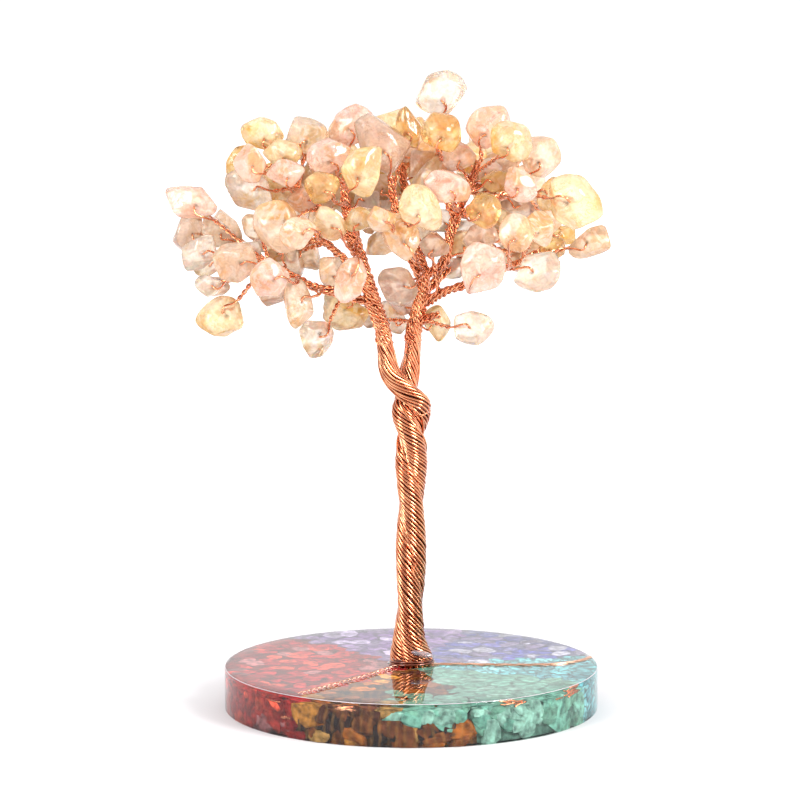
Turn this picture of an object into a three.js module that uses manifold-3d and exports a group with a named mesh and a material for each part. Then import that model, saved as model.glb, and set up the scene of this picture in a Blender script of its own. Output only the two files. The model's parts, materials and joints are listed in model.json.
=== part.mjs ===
// A gem tree: tumbled citrine and quartz chips on twisted copper wire, glued to a round base of
// clear resin. Millimetres, +Z up, seen from the front along +Y. The origin is the middle of the
// underside of the base.
import * as THREE from 'three';
import { mergeVertices } from 'three/addons/utils/BufferGeometryUtils.js';
import Module from 'manifold-3d';

const wasm = await Module();
wasm.setup();

// Base and glue
const BASE_DIAMETER = 80;
const BASE_THICKNESS = 9.2;
const BASE_EDGE = 0.7;
const BASE_SIDES = 40;
const GLUE_WIDTH = 1.5;
const GLUE_HEIGHT = 1.4;
const GLUE_HOLLOW = 0.4;
const GLUE_SIDES = 20;

// Trunk: two bundles of wire laid round each other, tighter towards the fork
const TRUNK_HEIGHT = 58;
const BUNDLE_RADIUS = 2.4;
const BUNDLE_OFFSET = 1.45;
const FOOT_PITCH = 38;
const FORK_PITCH = 18;
const BUNDLE_SIDES = 6;
const TURN_STEP = 30;

// Limbs, boughs and twigs
const LIMB_RADIUS = 2;
const BOUGH_RADIUS = 0.9;
const TIP_RADIUS = 0.5;
const TWIG_RADIUS = 0.48;
const BOUGH_SIDES = 5;
const TWIG_SIDES = 3;
const TWIG_POINTS = 9;
const TWIG_LEAVES = 5;
const TWIG_RISE = 0.1;
const TWIG_SLACK = 0.45;

// Fits
const FIT_GAP = 0.3;
const WELD = 1e-4;

// Chips
const CHIP_THICKNESS = 0.8;
const CHIP_FACETS = 13;
const CHIP_ROUNDING = 7;
const FACET_NEAREST = 0.72;
const CHIP_TILT = 22;
const CHIP_GRID = [7, 5];
const PLAIN_GRID = [5, 3];
const ROSETTE_CHIPS = 5;
const ROSETTE_LONG = 8.6;
const ROSETTE_WIDE = 6.6;
const ROSETTE_BITE = 1.8;
const ROSETTE_OUT = 0.7;

// Easing of chips and twigs, a little at each round
const SETTLE_ROUNDS = 260;
const SETTLE_STEP = 0.5;
const DEPTH_FAVOUR = 1.6;
const ROUTE_ROUNDS = 160;
const ROUTE_STEP = 0.3;

const TONES = {
  honey: 0xe8b48a,
  gold: 0xe9c27a,
  amber: 0xd99a3e,
  rose: 0xe6bcb0,
  smoke: 0xb89a88,
  clear: 0xeee3d8,
};
const COPPER = 0xc07048;
const RESIN = 0xdfe4e0;

const deg = THREE.MathUtils.degToRad;
const baseTop = BASE_THICKNESS;
const forkTop = baseTop + TRUNK_HEIGHT;
const fromFork = ([x, depth, up]) => new THREE.Vector3(x, depth, forkTop + up);

// A repeatable number from 0 to 1 for each seed.
function chance(seed) {
  const wave = Math.sin(seed * 12.9898 + 78.233) * 43758.5453;
  return wave - Math.floor(wave);
}

// Boughs, as points across, in depth and above the fork. Each starts inside the one it grows from.
const BOUGHS = {
  left_limb: [[-4.1, -1.5, 4.3], [-5.4, -1.5, 9.6], [-6, -2, 13.8], [-7.3, -3, 18], [-8.7, -3.5, 22.3],
    [-10.4, -4, 28.3], [-12, -4, 33], [-13.4, -4, 40]],
  right_limb: [[-0.3, 1.5, 5.3], [0.3, 1, 9.6], [0.6, 0.5, 13.8], [1.6, 0, 18], [2, -0.5, 20.2],
    [2.9, -1, 27]],
  left_low: [[-8, -3.2, 19.8], [-14, -4.5, 22.1], [-20, -6, 23.6], [-26.5, -7, 27], [-33, -6, 30]],
  left_high: [[-12, -4, 33], [-17, -5, 38], [-22, -5, 42.5], [-27, -6, 47]],
  crown_left: [[-13.4, -4, 39], [-14, -4, 44], [-13, -4, 49]],
  front_left: [[-11, -4, 30], [-12, -8, 32], [-13, -11, 33]],
  front: [[2.4, -1, 25], [0.5, -6, 29], [-2.6, -8, 37], [-4.5, -7, 47]],
  right_low: [[1.8, -0.3, 19], [7, -4, 22.5], [12.8, -6, 24.5], [20.4, -6.5, 28], [27, -6, 31]],
  crown_right: [[2.7, -1, 25.5], [6.7, -3, 28.3], [7.9, -3.5, 33.2], [9.1, -4, 38.5],
    [12.4, -4, 45.7], [14, -4.5, 50]],
  right_high: [[9, -4, 38], [14, -5, 40.5], [20, -5.5, 43], [26, -5, 44.5]],
  top: [[9.1, -4, 38.5], [6.5, -4, 46], [6.2, -4, 54]],
  under: [[0.8, 0.4, 14.5], [3, -1, 16.5], [6, -1.5, 17.5]],
  rear_left: [[-8, -3, 20.5], [-13, 5, 27], [-21, 12, 34]],
  rear_left_high: [[-12, -4, 33], [-13, 5, 39], [-15, 11, 46]],
  rear_middle: [[2.5, -0.8, 24], [0, 8, 31], [-3, 15, 37]],
  rear_top: [[2.9, -1, 26.5], [-1, 6, 40], [-2, 9, 50]],
  rear_right: [[2.2, -0.6, 22], [10, 7, 28], [19, 12, 34]],
  rear_right_high: [[8.2, -3.7, 35], [11, 5, 41], [14, 11, 46]],
};
const LIMBS = ['left_limb', 'right_limb'];
const REAR = Object.keys(BOUGHS).filter((name) => name.startsWith('rear_'));

// Chips by bough: tone, place across, in depth and above the fork, length, width and lean in degrees.
const CHIPS = {
  left_low: [
    ['rose', -46, -6, 41, 11.5, 6.5, -18], ['clear', -40.5, -2, 35, 9, 5, -30],
    ['clear', -44.5, -6, 30.5, 9.5, 5.5, 45], ['clear', -42.5, -8, 24, 6.5, 5, 20],
    ['honey', -36.5, -14, 29.5, 10, 8, 20], ['rose', -29.5, -20, 27, 8.5, 7.5, 45],
    ['gold', -39.5, -12, 18, 10.5, 8.5, 25], ['honey', -23.5, -14, 21, 11, 6, 95],
    ['clear', -20, -8, 13, 8.5, 7, 50],
  ],
  left_high: [
    ['honey', -28, -16, 37, 11, 9, -60], ['honey', -23, -24, 36.5, 8, 6.5, 15],
    ['clear', -34, -8, 44, 11.5, 7.5, -45], ['rose', -33.5, -12, 49.5, 8.5, 6, -50],
    ['gold', -31.5, -2, 55.5, 9.5, 7, -25], ['gold', -27, -6, 52, 9, 6, -25],
    ['rose', -26, -14, 48, 8, 6, 0], ['clear', -22, -3, 55, 9.5, 7, -20],
  ],
  crown_left: [
    ['amber', -18.5, -20, 45, 7.5, 6, 30], ['rose', -17, -12, 51, 10.5, 7, 25],
    ['rose', -12.5, -2, 57, 10, 7.5, 40], ['gold', -10.5, -20, 48.5, 12, 7.5, 65],
  ],
  front_left: [
    ['gold', -17, -20, 38, 9, 6, -60], ['gold', -11, -18, 38.5, 7, 5.5, 0],
    ['rose', -13, -20, 26, 10.5, 6.5, 70], ['gold', -14, 4, 18, 11.5, 6.5, -35],
  ],
  front: [
    ['honey', -6, -24, 39, 6, 5.5, -30], ['honey', -2.5, -20, 35.5, 10.5, 7, -65],
    ['gold', 2, -26, 41.5, 11, 8.5, -40], ['smoke', -6, -10, 53.5, 13.5, 10, -50],
    ['smoke', -3, -12, 24.5, 8.5, 8, -20], ['amber', -0.5, -3, 57, 9.5, 6, -70],
  ],
  right_low: [
    ['rose', 14.5, -24, 29, 11, 9, 50], ['honey', 21.5, -22, 36, 9, 7, -60],
    ['honey', 26, -14, 36.5, 8.5, 6.5, -45], ['clear', 26, -12, 27.5, 10.5, 8, 20],
    ['honey', 37.5, -6, 33, 10.5, 5.5, 35], ['smoke', 14.5, -12, 34.5, 8, 6, 0],
  ],
  right_high: [
    ['gold', 29, -4, 43, 7.5, 5.5, 80], ['gold', 34, -11, 42, 13, 9.5, -50],
    ['honey', 27.5, 0, 50.5, 10, 8, -65], ['rose', 22.5, -19, 46, 8, 6, -60],
    ['amber', 14.5, -20, 41, 8, 7, -60],
  ],
  crown_right: [
    ['gold', 20, -14, 54.5, 9, 8.5, 60], ['rose', 16, -8, 57, 9.5, 9, 80],
    ['rose', 11, -5, 50, 8, 6.5, -20], ['rose', 7.5, -19, 45.5, 10, 6.5, -10],
  ],
  top: [['clear', 6.5, -2, 64, 10.5, 10, -30], ['amber', 6, -14, 56.5, 8.5, 8.5, 0]],
  under: [['gold', 5.5, 6, 14.5, 8, 6, -75], ['clear', 13, -8, 15.5, 8.5, 7, -30]],
};

// Joins and cuts

function solidOf(geometry) {
  const bare = geometry.clone();
  bare.deleteAttribute('normal');
  bare.deleteAttribute('uv');
  const merged = mergeVertices(bare, WELD);
  return new wasm.Manifold(new wasm.Mesh({
    numProp: 3,
    vertProperties: new Float32Array(merged.attributes.position.array),
    triVerts: new Uint32Array(merged.index.array),
  }));
}

function geometryOf(solid) {
  const mesh = solid.getMesh();
  const geometry = new THREE.BufferGeometry();
  geometry.setAttribute('position', new THREE.BufferAttribute(new Float32Array(mesh.vertProperties), 3));
  geometry.setIndex(new THREE.BufferAttribute(new Uint32Array(mesh.triVerts), 1));
  return geometry;
}

// Wires

// A closed bar: the rows of a capped cylinder are carried along the points, each at its radius.
function bar(points, radii, sides) {
  const geometry = new THREE.CylinderGeometry(1, 1, 1, sides, points.length - 1);
  const position = geometry.attributes.position;
  const last = points.length - 1;
  const frames = [];
  let normal = new THREE.Vector3(0.31, 0.95, 0.05);
  points.forEach((point, row) => {
    const ahead = points[Math.min(row + 1, last)].clone();
    const tangent = ahead.sub(points[Math.max(row - 1, 0)]).normalize();
    normal = normal.clone().addScaledVector(tangent, -normal.dot(tangent)).normalize();
    frames.push([normal, tangent.clone().cross(normal)]);
  });
  for (let i = 0; i < position.count; i += 1) {
    const row = Math.round((0.5 - position.getY(i)) * last);
    const [across, beside] = frames[row];
    const spot = points[row].clone();
    spot.addScaledVector(across, position.getX(i) * radii[row]);
    spot.addScaledVector(beside, position.getZ(i) * radii[row]);
    position.setXYZ(i, spot.x, spot.y, spot.z);
  }
  return geometry;
}

// How many turns the lay has made at a height: its rate grows evenly from the foot to the fork.
function turnsAt(height) {
  const slow = 1 / FOOT_PITCH;
  const fast = 1 / FORK_PITCH;
  return slow * height + ((fast - slow) * height * height) / (2 * TRUNK_HEIGHT);
}

// One bundle of the trunk. The lay is left-handed, and at the fork the left limb's bundle is in front.
function trunkBundle(startAngle) {
  const turns = turnsAt(TRUNK_HEIGHT);
  const steps = Math.round((turns * 360) / TURN_STEP);
  const points = [];
  for (let i = -1; i <= steps; i += 1) {
    const height = (TRUNK_HEIGHT * i) / steps;
    const angle = deg(startAngle + 360 * (turns - turnsAt(height)));
    points.push(new THREE.Vector3(BUNDLE_OFFSET * Math.cos(angle), BUNDLE_OFFSET * Math.sin(angle),
      baseTop + height));
  }
  return points;
}

function boughPoints(name) {
  const points = BOUGHS[name].map(fromFork);
  return new THREE.CatmullRomCurve3(points).getPoints(points.length + 1);
}

function taper(count, from, to) {
  return Array.from({ length: count }, (_, i) => from + ((to - from) * i) / (count - 1));
}

const boughs = {};
Object.keys(BOUGHS).forEach((name) => {
  let points = boughPoints(name);
  let radii = taper(points.length, BOUGH_RADIUS, TIP_RADIUS);
  if (LIMBS.includes(name)) {
    const bundle = trunkBundle(name === 'left_limb' ? -90 : 90);
    radii = taper(points.length, LIMB_RADIUS, BOUGH_RADIUS);
    radii = [...bundle.map(() => BUNDLE_RADIUS), ...radii];
    points = [...bundle, ...points];
  }
  boughs[name] = { points, radii, sides: LIMBS.includes(name) ? BUNDLE_SIDES : BOUGH_SIDES };
});

// Chips

// A tumbled chip: a ball whose radius is the soft minimum of its distances to a set of flat
// facets, stretched to its length, width and thickness.
function chipGeometry(seed, long, wide, [around, along]) {
  const geometry = new THREE.SphereGeometry(1, around, along).rotateZ(Math.PI / 2);
  geometry.deleteAttribute('normal');
  geometry.deleteAttribute('uv');
  const merged = mergeVertices(geometry, WELD);
  const facets = Array.from({ length: CHIP_FACETS }, (_, i) => {
    const height = 1 - (2 * (i + 0.5)) / CHIP_FACETS;
    const turn = i * Math.PI * (3 - Math.sqrt(5)) + 0.5 * chance(seed + i);
    const ring = Math.sqrt(1 - height * height);
    return {
      normal: new THREE.Vector3(ring * Math.cos(turn), ring * Math.sin(turn), height),
      distance: FACET_NEAREST + (1 - FACET_NEAREST) * chance(seed * 3 + i),
    };
  });
  const turned = new THREE.Quaternion().setFromEuler(
    new THREE.Euler(6 * chance(seed + 40), 6 * chance(seed + 41), 6 * chance(seed + 42)));
  const position = merged.attributes.position;
  const spot = new THREE.Vector3();
  for (let i = 0; i < position.count; i += 1) {
    spot.fromBufferAttribute(position, i).normalize();
    const probe = spot.clone().applyQuaternion(turned);
    const sum = facets.reduce((total, facet) => {
      const towards = Math.max(0, facet.normal.dot(probe)) / facet.distance;
      return total + towards ** CHIP_ROUNDING;
    }, 0);
    spot.multiplyScalar(sum ** (-1 / CHIP_ROUNDING));
    position.setXYZ(i, spot.x, spot.y, spot.z);
  }
  merged.computeBoundingBox();
  const size = merged.boundingBox.getSize(new THREE.Vector3());
  const middle = merged.boundingBox.getCenter(new THREE.Vector3());
  merged.translate(-middle.x, -middle.y, -middle.z);
  merged.scale(long / size.x, (wide * CHIP_THICKNESS) / size.y, wide / size.z);
  return merged;
}

// Turns a chip: rolled about its length, dipped in depth, then leant as seen from the front.
function turnChip(geometry, seed, lean) {
  geometry.rotateX(deg(CHIP_TILT) * (2 * chance(seed + 7) - 1));
  geometry.rotateZ(deg(CHIP_TILT) * (2 * chance(seed + 8) - 1));
  geometry.rotateY(-deg(lean));
  return geometry;
}

// A rosette: a ring of plain chips round the end of a bough at the back, each just into the next.
function rosette(seed, outward) {
  const radius = (ROSETTE_LONG - ROSETTE_BITE) / (2 * Math.sin(Math.PI / ROSETTE_CHIPS));
  const facing = new THREE.Quaternion().setFromUnitVectors(new THREE.Vector3(0, 0, 1), outward);
  let whole = solidOf(chipGeometry(seed, ROSETTE_LONG, ROSETTE_WIDE, PLAIN_GRID));
  for (let i = 0; i < ROSETTE_CHIPS; i += 1) {
    const angle = (2 * Math.PI * i) / ROSETTE_CHIPS;
    const chip = chipGeometry(seed + i + 1, ROSETTE_LONG, ROSETTE_WIDE, PLAIN_GRID);
    chip.rotateZ(angle + Math.PI / 2);
    chip.translate(radius * Math.cos(angle), radius * Math.sin(angle), 0);
    whole = whole.add(solidOf(chip));
  }
  const geometry = geometryOf(whole);
  geometry.applyQuaternion(facing);
  return geometry;
}

function pointsOf(geometry) {
  const position = geometry.attributes.position;
  return Array.from({ length: position.count }, (_, i) => (
    new THREE.Vector3().fromBufferAttribute(position, i)));
}

const stones = [];
Object.entries(CHIPS).forEach(([bough, rows]) => {
  rows.forEach(([tone, x, depth, up, long, wide, lean], i) => {
    const seed = stones.length * 17 + 5;
    const geometry = turnChip(chipGeometry(seed, long, wide, CHIP_GRID), seed, lean);
    const name = `chip_${bough}_${i + 1}`;
    stones.push({ name, bough, tone, geometry, place: fromFork([x, depth, up]) });
  });
});
REAR.forEach((bough, i) => {
  const [x, depth, up] = BOUGHS[bough].at(-1);
  const outward = new THREE.Vector3(x, depth, 0).normalize();
  const place = fromFork([x, depth, up]).addScaledVector(outward, ROSETTE_WIDE * ROSETTE_OUT);
  const tone = i % 2 ? 'gold' : 'honey';
  stones.push({ name: `chips_${bough}`, bough, tone, geometry: rosette(900 + i * 31, outward), place });
});
stones.forEach((stone) => {
  stone.points = pointsOf(stone.geometry);
  stone.reach = Math.max(...stone.points.map((point) => point.length()));
});

// Settling

function support(points, axis) {
  return points.reduce((most, point) => Math.max(most, point.dot(axis)), -Infinity);
}

const AXES = [[0, 1, 0], [1, 0, 0], [0, 0, 1], [1, 1, 0], [1, -1, 0], [0, 1, 1], [0, 1, -1], [1, 0, 1],
  [1, 0, -1], [1, 1, 1], [1, 1, -1], [1, -1, 1], [1, -1, -1]].map((axis) => (
  new THREE.Vector3(...axis).normalize()));

// The least move that parts two stones, with a move in depth counted as cheap, or null if apart.
function partingMove(one, other) {
  const between = other.place.clone().sub(one.place);
  if (between.length() > one.reach + other.reach + FIT_GAP) return null;
  let best = null;
  [between.clone().normalize(), ...AXES].forEach((line) => {
    const axis = line.clone().multiplyScalar(between.dot(line) < 0 ? -1 : 1);
    const room = between.dot(axis) - support(one.points, axis) - support(other.points, axis.clone().negate());
    const lack = FIT_GAP - room;
    const cost = lack * (DEPTH_FAVOUR - Math.abs(axis.y));
    if (!best || lack <= 0 || cost < best.cost) {
      if (!best || best.lack > 0) best = { axis, lack, cost };
    }
  });
  return best.lack > 0 ? best : null;
}

// Chips that sit too close to one another or to a bough are eased apart, a little at each round.
const thick = Object.values(boughs).flatMap(({ points, radii }) => (
  points.map((point, i) => ({ point, radius: radii[i] }))));
for (let round = 0; round < SETTLE_ROUNDS; round += 1) {
  for (let i = 0; i < stones.length; i += 1) {
    const one = stones[i];
    for (let j = i + 1; j < stones.length; j += 1) {
      const move = partingMove(one, stones[j]);
      if (move) {
        one.place.addScaledVector(move.axis, -SETTLE_STEP * move.lack);
        stones[j].place.addScaledVector(move.axis, SETTLE_STEP * move.lack);
      }
    }
    if (!one.name.startsWith('chips_')) {
      thick.forEach(({ point, radius }) => {
        const away = one.place.clone().sub(point);
        if (away.length() < one.reach + radius + FIT_GAP) {
          away.normalize();
          const lack = support(one.points, away.clone().negate()) + radius + FIT_GAP
            - one.place.clone().sub(point).dot(away);
          if (lack > 0) one.place.addScaledVector(away, SETTLE_STEP * lack);
        }
      });
    }
  }
}

// Twigs

// How far a spot is outside a stone: the largest of its distances to the stone's faces.
function outside(stone, spot) {
  const local = spot.clone().sub(stone.place);
  let best = { distance: -Infinity, normal: null };
  stone.faces.forEach(({ normal, distance }) => {
    const gap = local.dot(normal) - distance;
    if (gap > best.distance) best = { distance: gap, normal };
  });
  return best;
}

stones.forEach((stone) => {
  const index = stone.geometry.index.array;
  stone.faces = [];
  for (let i = 0; i < index.length; i += 3) {
    const [a, b, c] = [0, 1, 2].map((corner) => stone.points[index[i + corner]]);
    const normal = b.clone().sub(a).cross(c.clone().sub(a)).normalize();
    stone.faces.push({ normal, distance: support(stone.points, normal) });
  }
});

// Keeps only the points that a line needs to stay within the slack of its route.
function straighten(points) {
  const chord = new THREE.Line3(points[0], points.at(-1));
  const gaps = points.map((point) => (
    chord.closestPointToPoint(point, true, new THREE.Vector3()).distanceTo(point)));
  const worst = Math.max(...gaps);
  if (worst < TWIG_SLACK) return [points[0], points.at(-1)];
  const at = gaps.indexOf(worst);
  return [...straighten(points.slice(0, at + 1)).slice(0, -1), ...straighten(points.slice(at))];
}

// A twig leaves its bough a little before the point nearest to its chip, bends towards the chip,
// keeps clear of every other chip and ends in the middle of its own.
function twigPoints(stone) {
  const line = boughs[stone.bough].points;
  const far = line.map((point) => point.distanceTo(stone.place));
  let root = far.indexOf(Math.min(...far));
  while (root > 0 && line[root].distanceTo(line[far.indexOf(Math.min(...far))]) < TWIG_LEAVES) root -= 1;
  const start = line[root];
  const bend = line[Math.min(root + 2, line.length - 1)].clone().lerp(stone.place, 0.5);
  bend.z += TWIG_RISE * start.distanceTo(stone.place);
  const points = new THREE.QuadraticBezierCurve3(start, bend, stone.place).getPoints(TWIG_POINTS - 1);
  const margin = TWIG_RADIUS + FIT_GAP;
  for (let round = 0; round < ROUTE_ROUNDS; round += 1) {
    for (let i = 1; i < TWIG_POINTS - 1; i += 1) {
      const middle = points[i - 1].clone().add(points[i + 1]).multiplyScalar(0.5);
      points[i].lerp(middle, ROUTE_STEP);
      stones.filter((other) => other !== stone).forEach((other) => {
        if (points[i].distanceTo(other.place) > other.reach + margin) return;
        const found = outside(other, points[i]);
        if (found.distance < margin) points[i].addScaledVector(found.normal, margin - found.distance);
      });
    }
  }
  return straighten(points);
}

// Wire tree, with every radius grown by an allowance: none for the wire itself, the fit gap for
// the bores that it needs in the chips.
const twigs = stones.map(twigPoints);
function wireTree(allowance) {
  const bars = Object.values(boughs).map(({ points, radii, sides }) => (
    solidOf(bar(points, radii.map((radius) => radius + allowance), sides))));
  twigs.forEach((points) => {
    bars.push(solidOf(bar(points, points.map(() => TWIG_RADIUS + allowance), TWIG_SIDES)));
  });
  return bars.reduce((whole, piece) => whole.add(piece));
}

// A block as large as the base, which trims the foot of the wires flat.
function belowBase() {
  const block = new THREE.BoxGeometry(BASE_DIAMETER, BASE_DIAMETER, BASE_THICKNESS);
  return solidOf(block.translate(0, 0, BASE_THICKNESS / 2));
}

// Pieces

const gemTree = new THREE.Group();

function addPiece(name, geometry, look) {
  const mesh = new THREE.Mesh(geometry, new THREE.MeshStandardMaterial(look));
  mesh.name = name;
  gemTree.add(mesh);
}

function resinBase() {
  const radius = BASE_DIAMETER / 2;
  const profile = [[0, 0], [radius - BASE_EDGE, 0], [radius, BASE_EDGE],
    [radius, BASE_THICKNESS - BASE_EDGE], [radius - BASE_EDGE, BASE_THICKNESS], [0, BASE_THICKNESS]];
  const geometry = new THREE.LatheGeometry(profile.map(([r, z]) => new THREE.Vector2(r, z)), BASE_SIDES);
  return geometry.rotateX(Math.PI / 2);
}

function glueCollar() {
  const inner = BUNDLE_OFFSET + BUNDLE_RADIUS + FIT_GAP;
  const profile = [[inner, baseTop], [inner + GLUE_WIDTH, baseTop],
    [inner + GLUE_WIDTH * GLUE_HOLLOW, baseTop + GLUE_HEIGHT / 2], [inner, baseTop + GLUE_HEIGHT],
    [inner, baseTop]];
  const geometry = new THREE.LatheGeometry(profile.map(([r, z]) => new THREE.Vector2(r, z)), GLUE_SIDES);
  return geometry.rotateX(Math.PI / 2);
}

addPiece('resin_base', resinBase(), { color: RESIN, roughness: 0.08, metalness: 0 });
addPiece('glue_collar', glueCollar(), { color: RESIN, roughness: 0.1, metalness: 0 });
addPiece('wire_tree', geometryOf(wireTree(0).subtract(belowBase())),
  { color: COPPER, roughness: 0.3, metalness: 1 });

const bores = wireTree(FIT_GAP);
stones.forEach(({ name, tone, geometry, place }) => {
  const whole = solidOf(geometry.clone().translate(place.x, place.y, place.z));
  addPiece(name, geometryOf(whole.subtract(bores)), { color: TONES[tone], roughness: 0.15, metalness: 0 });
});

export default gemTree;
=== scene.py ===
# A gem tree: tumbled citrine and quartz chips on a twisted copper wire tree, on a clear resin disc.
# Metres, +Z up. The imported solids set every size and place.
import json
import math

import bpy
import numpy as np
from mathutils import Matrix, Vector


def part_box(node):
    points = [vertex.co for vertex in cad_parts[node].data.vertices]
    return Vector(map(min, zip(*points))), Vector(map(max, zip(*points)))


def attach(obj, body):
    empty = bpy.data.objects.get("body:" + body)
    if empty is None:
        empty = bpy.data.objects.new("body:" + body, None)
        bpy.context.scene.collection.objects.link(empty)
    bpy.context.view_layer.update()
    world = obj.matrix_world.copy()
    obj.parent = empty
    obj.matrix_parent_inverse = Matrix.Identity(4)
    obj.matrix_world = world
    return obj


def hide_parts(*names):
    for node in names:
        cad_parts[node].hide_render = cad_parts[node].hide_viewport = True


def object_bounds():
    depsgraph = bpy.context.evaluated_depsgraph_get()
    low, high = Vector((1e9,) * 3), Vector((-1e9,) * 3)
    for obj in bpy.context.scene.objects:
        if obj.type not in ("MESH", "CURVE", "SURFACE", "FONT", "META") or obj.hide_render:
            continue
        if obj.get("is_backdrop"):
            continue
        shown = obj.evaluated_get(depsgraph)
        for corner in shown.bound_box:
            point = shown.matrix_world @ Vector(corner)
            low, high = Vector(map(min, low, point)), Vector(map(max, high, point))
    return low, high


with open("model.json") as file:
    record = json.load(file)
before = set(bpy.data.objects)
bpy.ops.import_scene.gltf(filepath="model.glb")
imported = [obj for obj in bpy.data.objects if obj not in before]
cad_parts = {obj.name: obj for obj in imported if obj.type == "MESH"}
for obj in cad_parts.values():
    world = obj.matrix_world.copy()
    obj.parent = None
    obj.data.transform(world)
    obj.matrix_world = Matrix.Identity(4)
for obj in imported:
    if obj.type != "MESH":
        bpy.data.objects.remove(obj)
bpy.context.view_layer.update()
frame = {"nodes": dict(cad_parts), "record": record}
MM = 0.001

# The photograph's camera: on a tripod a little above the crown, looking slightly down.
cam_data = bpy.data.cameras.new("camera")
cam_data.lens = 146.3
cam_data.sensor_width = 36
cam_data.clip_start = 0.01
camera = bpy.data.objects.new("camera", cam_data)
camera.location = (-2.4 * MM, -685.4 * MM, 151.6 * MM)
camera.rotation_euler = (math.radians(90 - 7.1), 0, 0)
bpy.context.scene.collection.objects.link(camera)
bpy.context.scene.camera = camera


# Trunk and limbs. Two bundles of copper wire are laid round each other, tighter towards the fork,
# and each goes on as a limb. Every wire also winds round its own bundle. The foot stands in glue.
WIRE = 0.27 * MM
base_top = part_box("resin_base")[1].z
TRUNK_HEIGHT = 58 * MM
FORK = base_top + TRUNK_HEIGHT
BUNDLE_OFFSET = ((0, 0.75), (40, 0.8), (46, 1.2), (54, 1.9), (58, 1.6))
LAY = ((0, 1.72), (13, 1.5), (25, 1.25), (35, 1), (42.5, 0.75), (49.5, 0.5), (55.3, 0.25), (58.8, 0))
WIRE_LAY = {
    "left_limb": ((0, 0.1), (3, 0.085), (6, 0.065), (14, 0.05), (33, 0.06), (44, 0.075), (52, 0.06),
                  (58, 0.042), (62, 0.036)),
    "right_limb": ((0, 0.1), (3, 0.085), (6, 0.065), (14, 0.05), (33, 0.06), (42, 0.085), (50, 0.07),
                   (58, 0.06), (70, 0.055)),
}
BUNDLE_TOP = 20 * MM
BUNDLE_REACH = ((-99, 2.55), (-14, 2.5), (-2, 2.4), (4, 1.95), (12, 1.7), (20, 1.3))
OUTER_WIRES = 16
INNER_WIRES = 12
INNER_DEPTH = 0.72 * MM
SINK = 0.55 * MM
# The trunk widens over its lowest part and leans left there. Its very foot flares out to the right.
WIDE_HEIGHT, WIDE_SHARE, WIDE_SHIFT = 12 * MM, 0.16, -0.6 * MM
FLARE_AT, FLARE_HEIGHT, FLARE_SHARE, FLARE_SHIFT = 1.5 * MM, 2.8 * MM, 0.28, 0.65 * MM
BOUGHS = {
    "left_limb": [(-4.1, -1.5, 4.3), (-5.4, -1.5, 9.6), (-6, -2, 13.8), (-7.3, -3, 18), (-8.7, -3.5, 22.3),
                  (-10.4, -4, 28.3), (-12, -4, 33), (-13.4, -4, 40)],
    "right_limb": [(-0.3, 1.5, 5.3), (0.3, 1, 9.6), (0.6, 0.5, 13.8), (1.6, 0, 18), (2, -0.5, 20.2),
                   (2.9, -1, 27)],
    "left_low": [(-8, -3.2, 19.8), (-14, -4.5, 22.1), (-20, -6, 23.6), (-26.5, -7, 27), (-33, -6, 30)],
    "left_high": [(-12, -4, 33), (-17, -5, 38), (-22, -5, 42.5), (-27, -6, 47)],
    "crown_left": [(-13.4, -4, 39), (-14, -4, 44), (-13, -4, 49)],
    "front_left": [(-11, -4, 30), (-12, -8, 32), (-13, -11, 33)],
    "front": [(2.4, -1, 25), (0.5, -6, 29), (-2.6, -8, 37), (-4.5, -7, 47)],
    "right_low": [(1.8, -0.3, 19), (7, -4, 22.5), (12.8, -6, 24.5), (20.4, -6.5, 28), (27, -6, 31)],
    "crown_right": [(2.7, -1, 25.5), (6.7, -3, 28.3), (7.9, -3.5, 33.2), (9.1, -4, 38.5), (12.4, -4, 45.7),
                    (14, -4.5, 50)],
    "right_high": [(9, -4, 38), (14, -5, 40.5), (20, -5.5, 43), (26, -5, 44.5)],
    "top": [(9.1, -4, 38.5), (6.5, -4, 46), (6.2, -4, 54)],
    "under": [(0.8, 0.4, 14.5), (3, -1, 16.5), (6, -1.5, 17.5)],
    "rear_left": [(-8, -3, 20.5), (-13, 5, 27), (-21, 12, 34)],
    "rear_left_high": [(-12, -4, 33), (-13, 5, 39), (-15, 11, 46)],
    "rear_middle": [(2.5, -0.8, 24), (0, 8, 31), (-3, 15, 37)],
    "rear_top": [(2.9, -1, 26.5), (-1, 6, 40), (-2, 9, 50)],
    "rear_right": [(2.2, -0.6, 22), (10, 7, 28), (19, 12, 34)],
    "rear_right_high": [(8.2, -3.7, 35), (11, 5, 41), (14, 11, 46)],
}
rng = np.random.default_rng(11)


def make_piece(name, points, triangles, finish, slot, tint=None, replaces=(), smooth=True):
    """A mesh from an array of points and one of triangles, riding on the root body. tint is one
    colour for each point, kept as the attribute that the material reads."""
    mesh = bpy.data.meshes.new(name)
    mesh.vertices.add(len(points))
    mesh.vertices.foreach_set("co", np.ascontiguousarray(points, dtype=np.float32).ravel())
    mesh.loops.add(triangles.size)
    mesh.loops.foreach_set("vertex_index", np.ascontiguousarray(triangles, dtype=np.int32).ravel())
    mesh.polygons.add(len(triangles))
    mesh.polygons.foreach_set("loop_start", np.arange(0, triangles.size, 3, dtype=np.int32))
    mesh.polygons.foreach_set("use_smooth", np.full(len(triangles), smooth))
    mesh.update(calc_edges=True)
    if tint is not None:
        layer = mesh.color_attributes.new("tint", "FLOAT_COLOR", "POINT")
        rgba = np.concatenate([tint, np.ones((len(tint), 1))], axis=1)
        layer.data.foreach_set("color", rgba.astype(np.float32).ravel())
    piece = bpy.data.objects.new(name, mesh)
    bpy.context.scene.collection.objects.link(piece)
    mesh.materials.append(finish)
    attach(piece, "root")
    if replaces:
        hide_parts(*replaces)
    return piece


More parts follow.
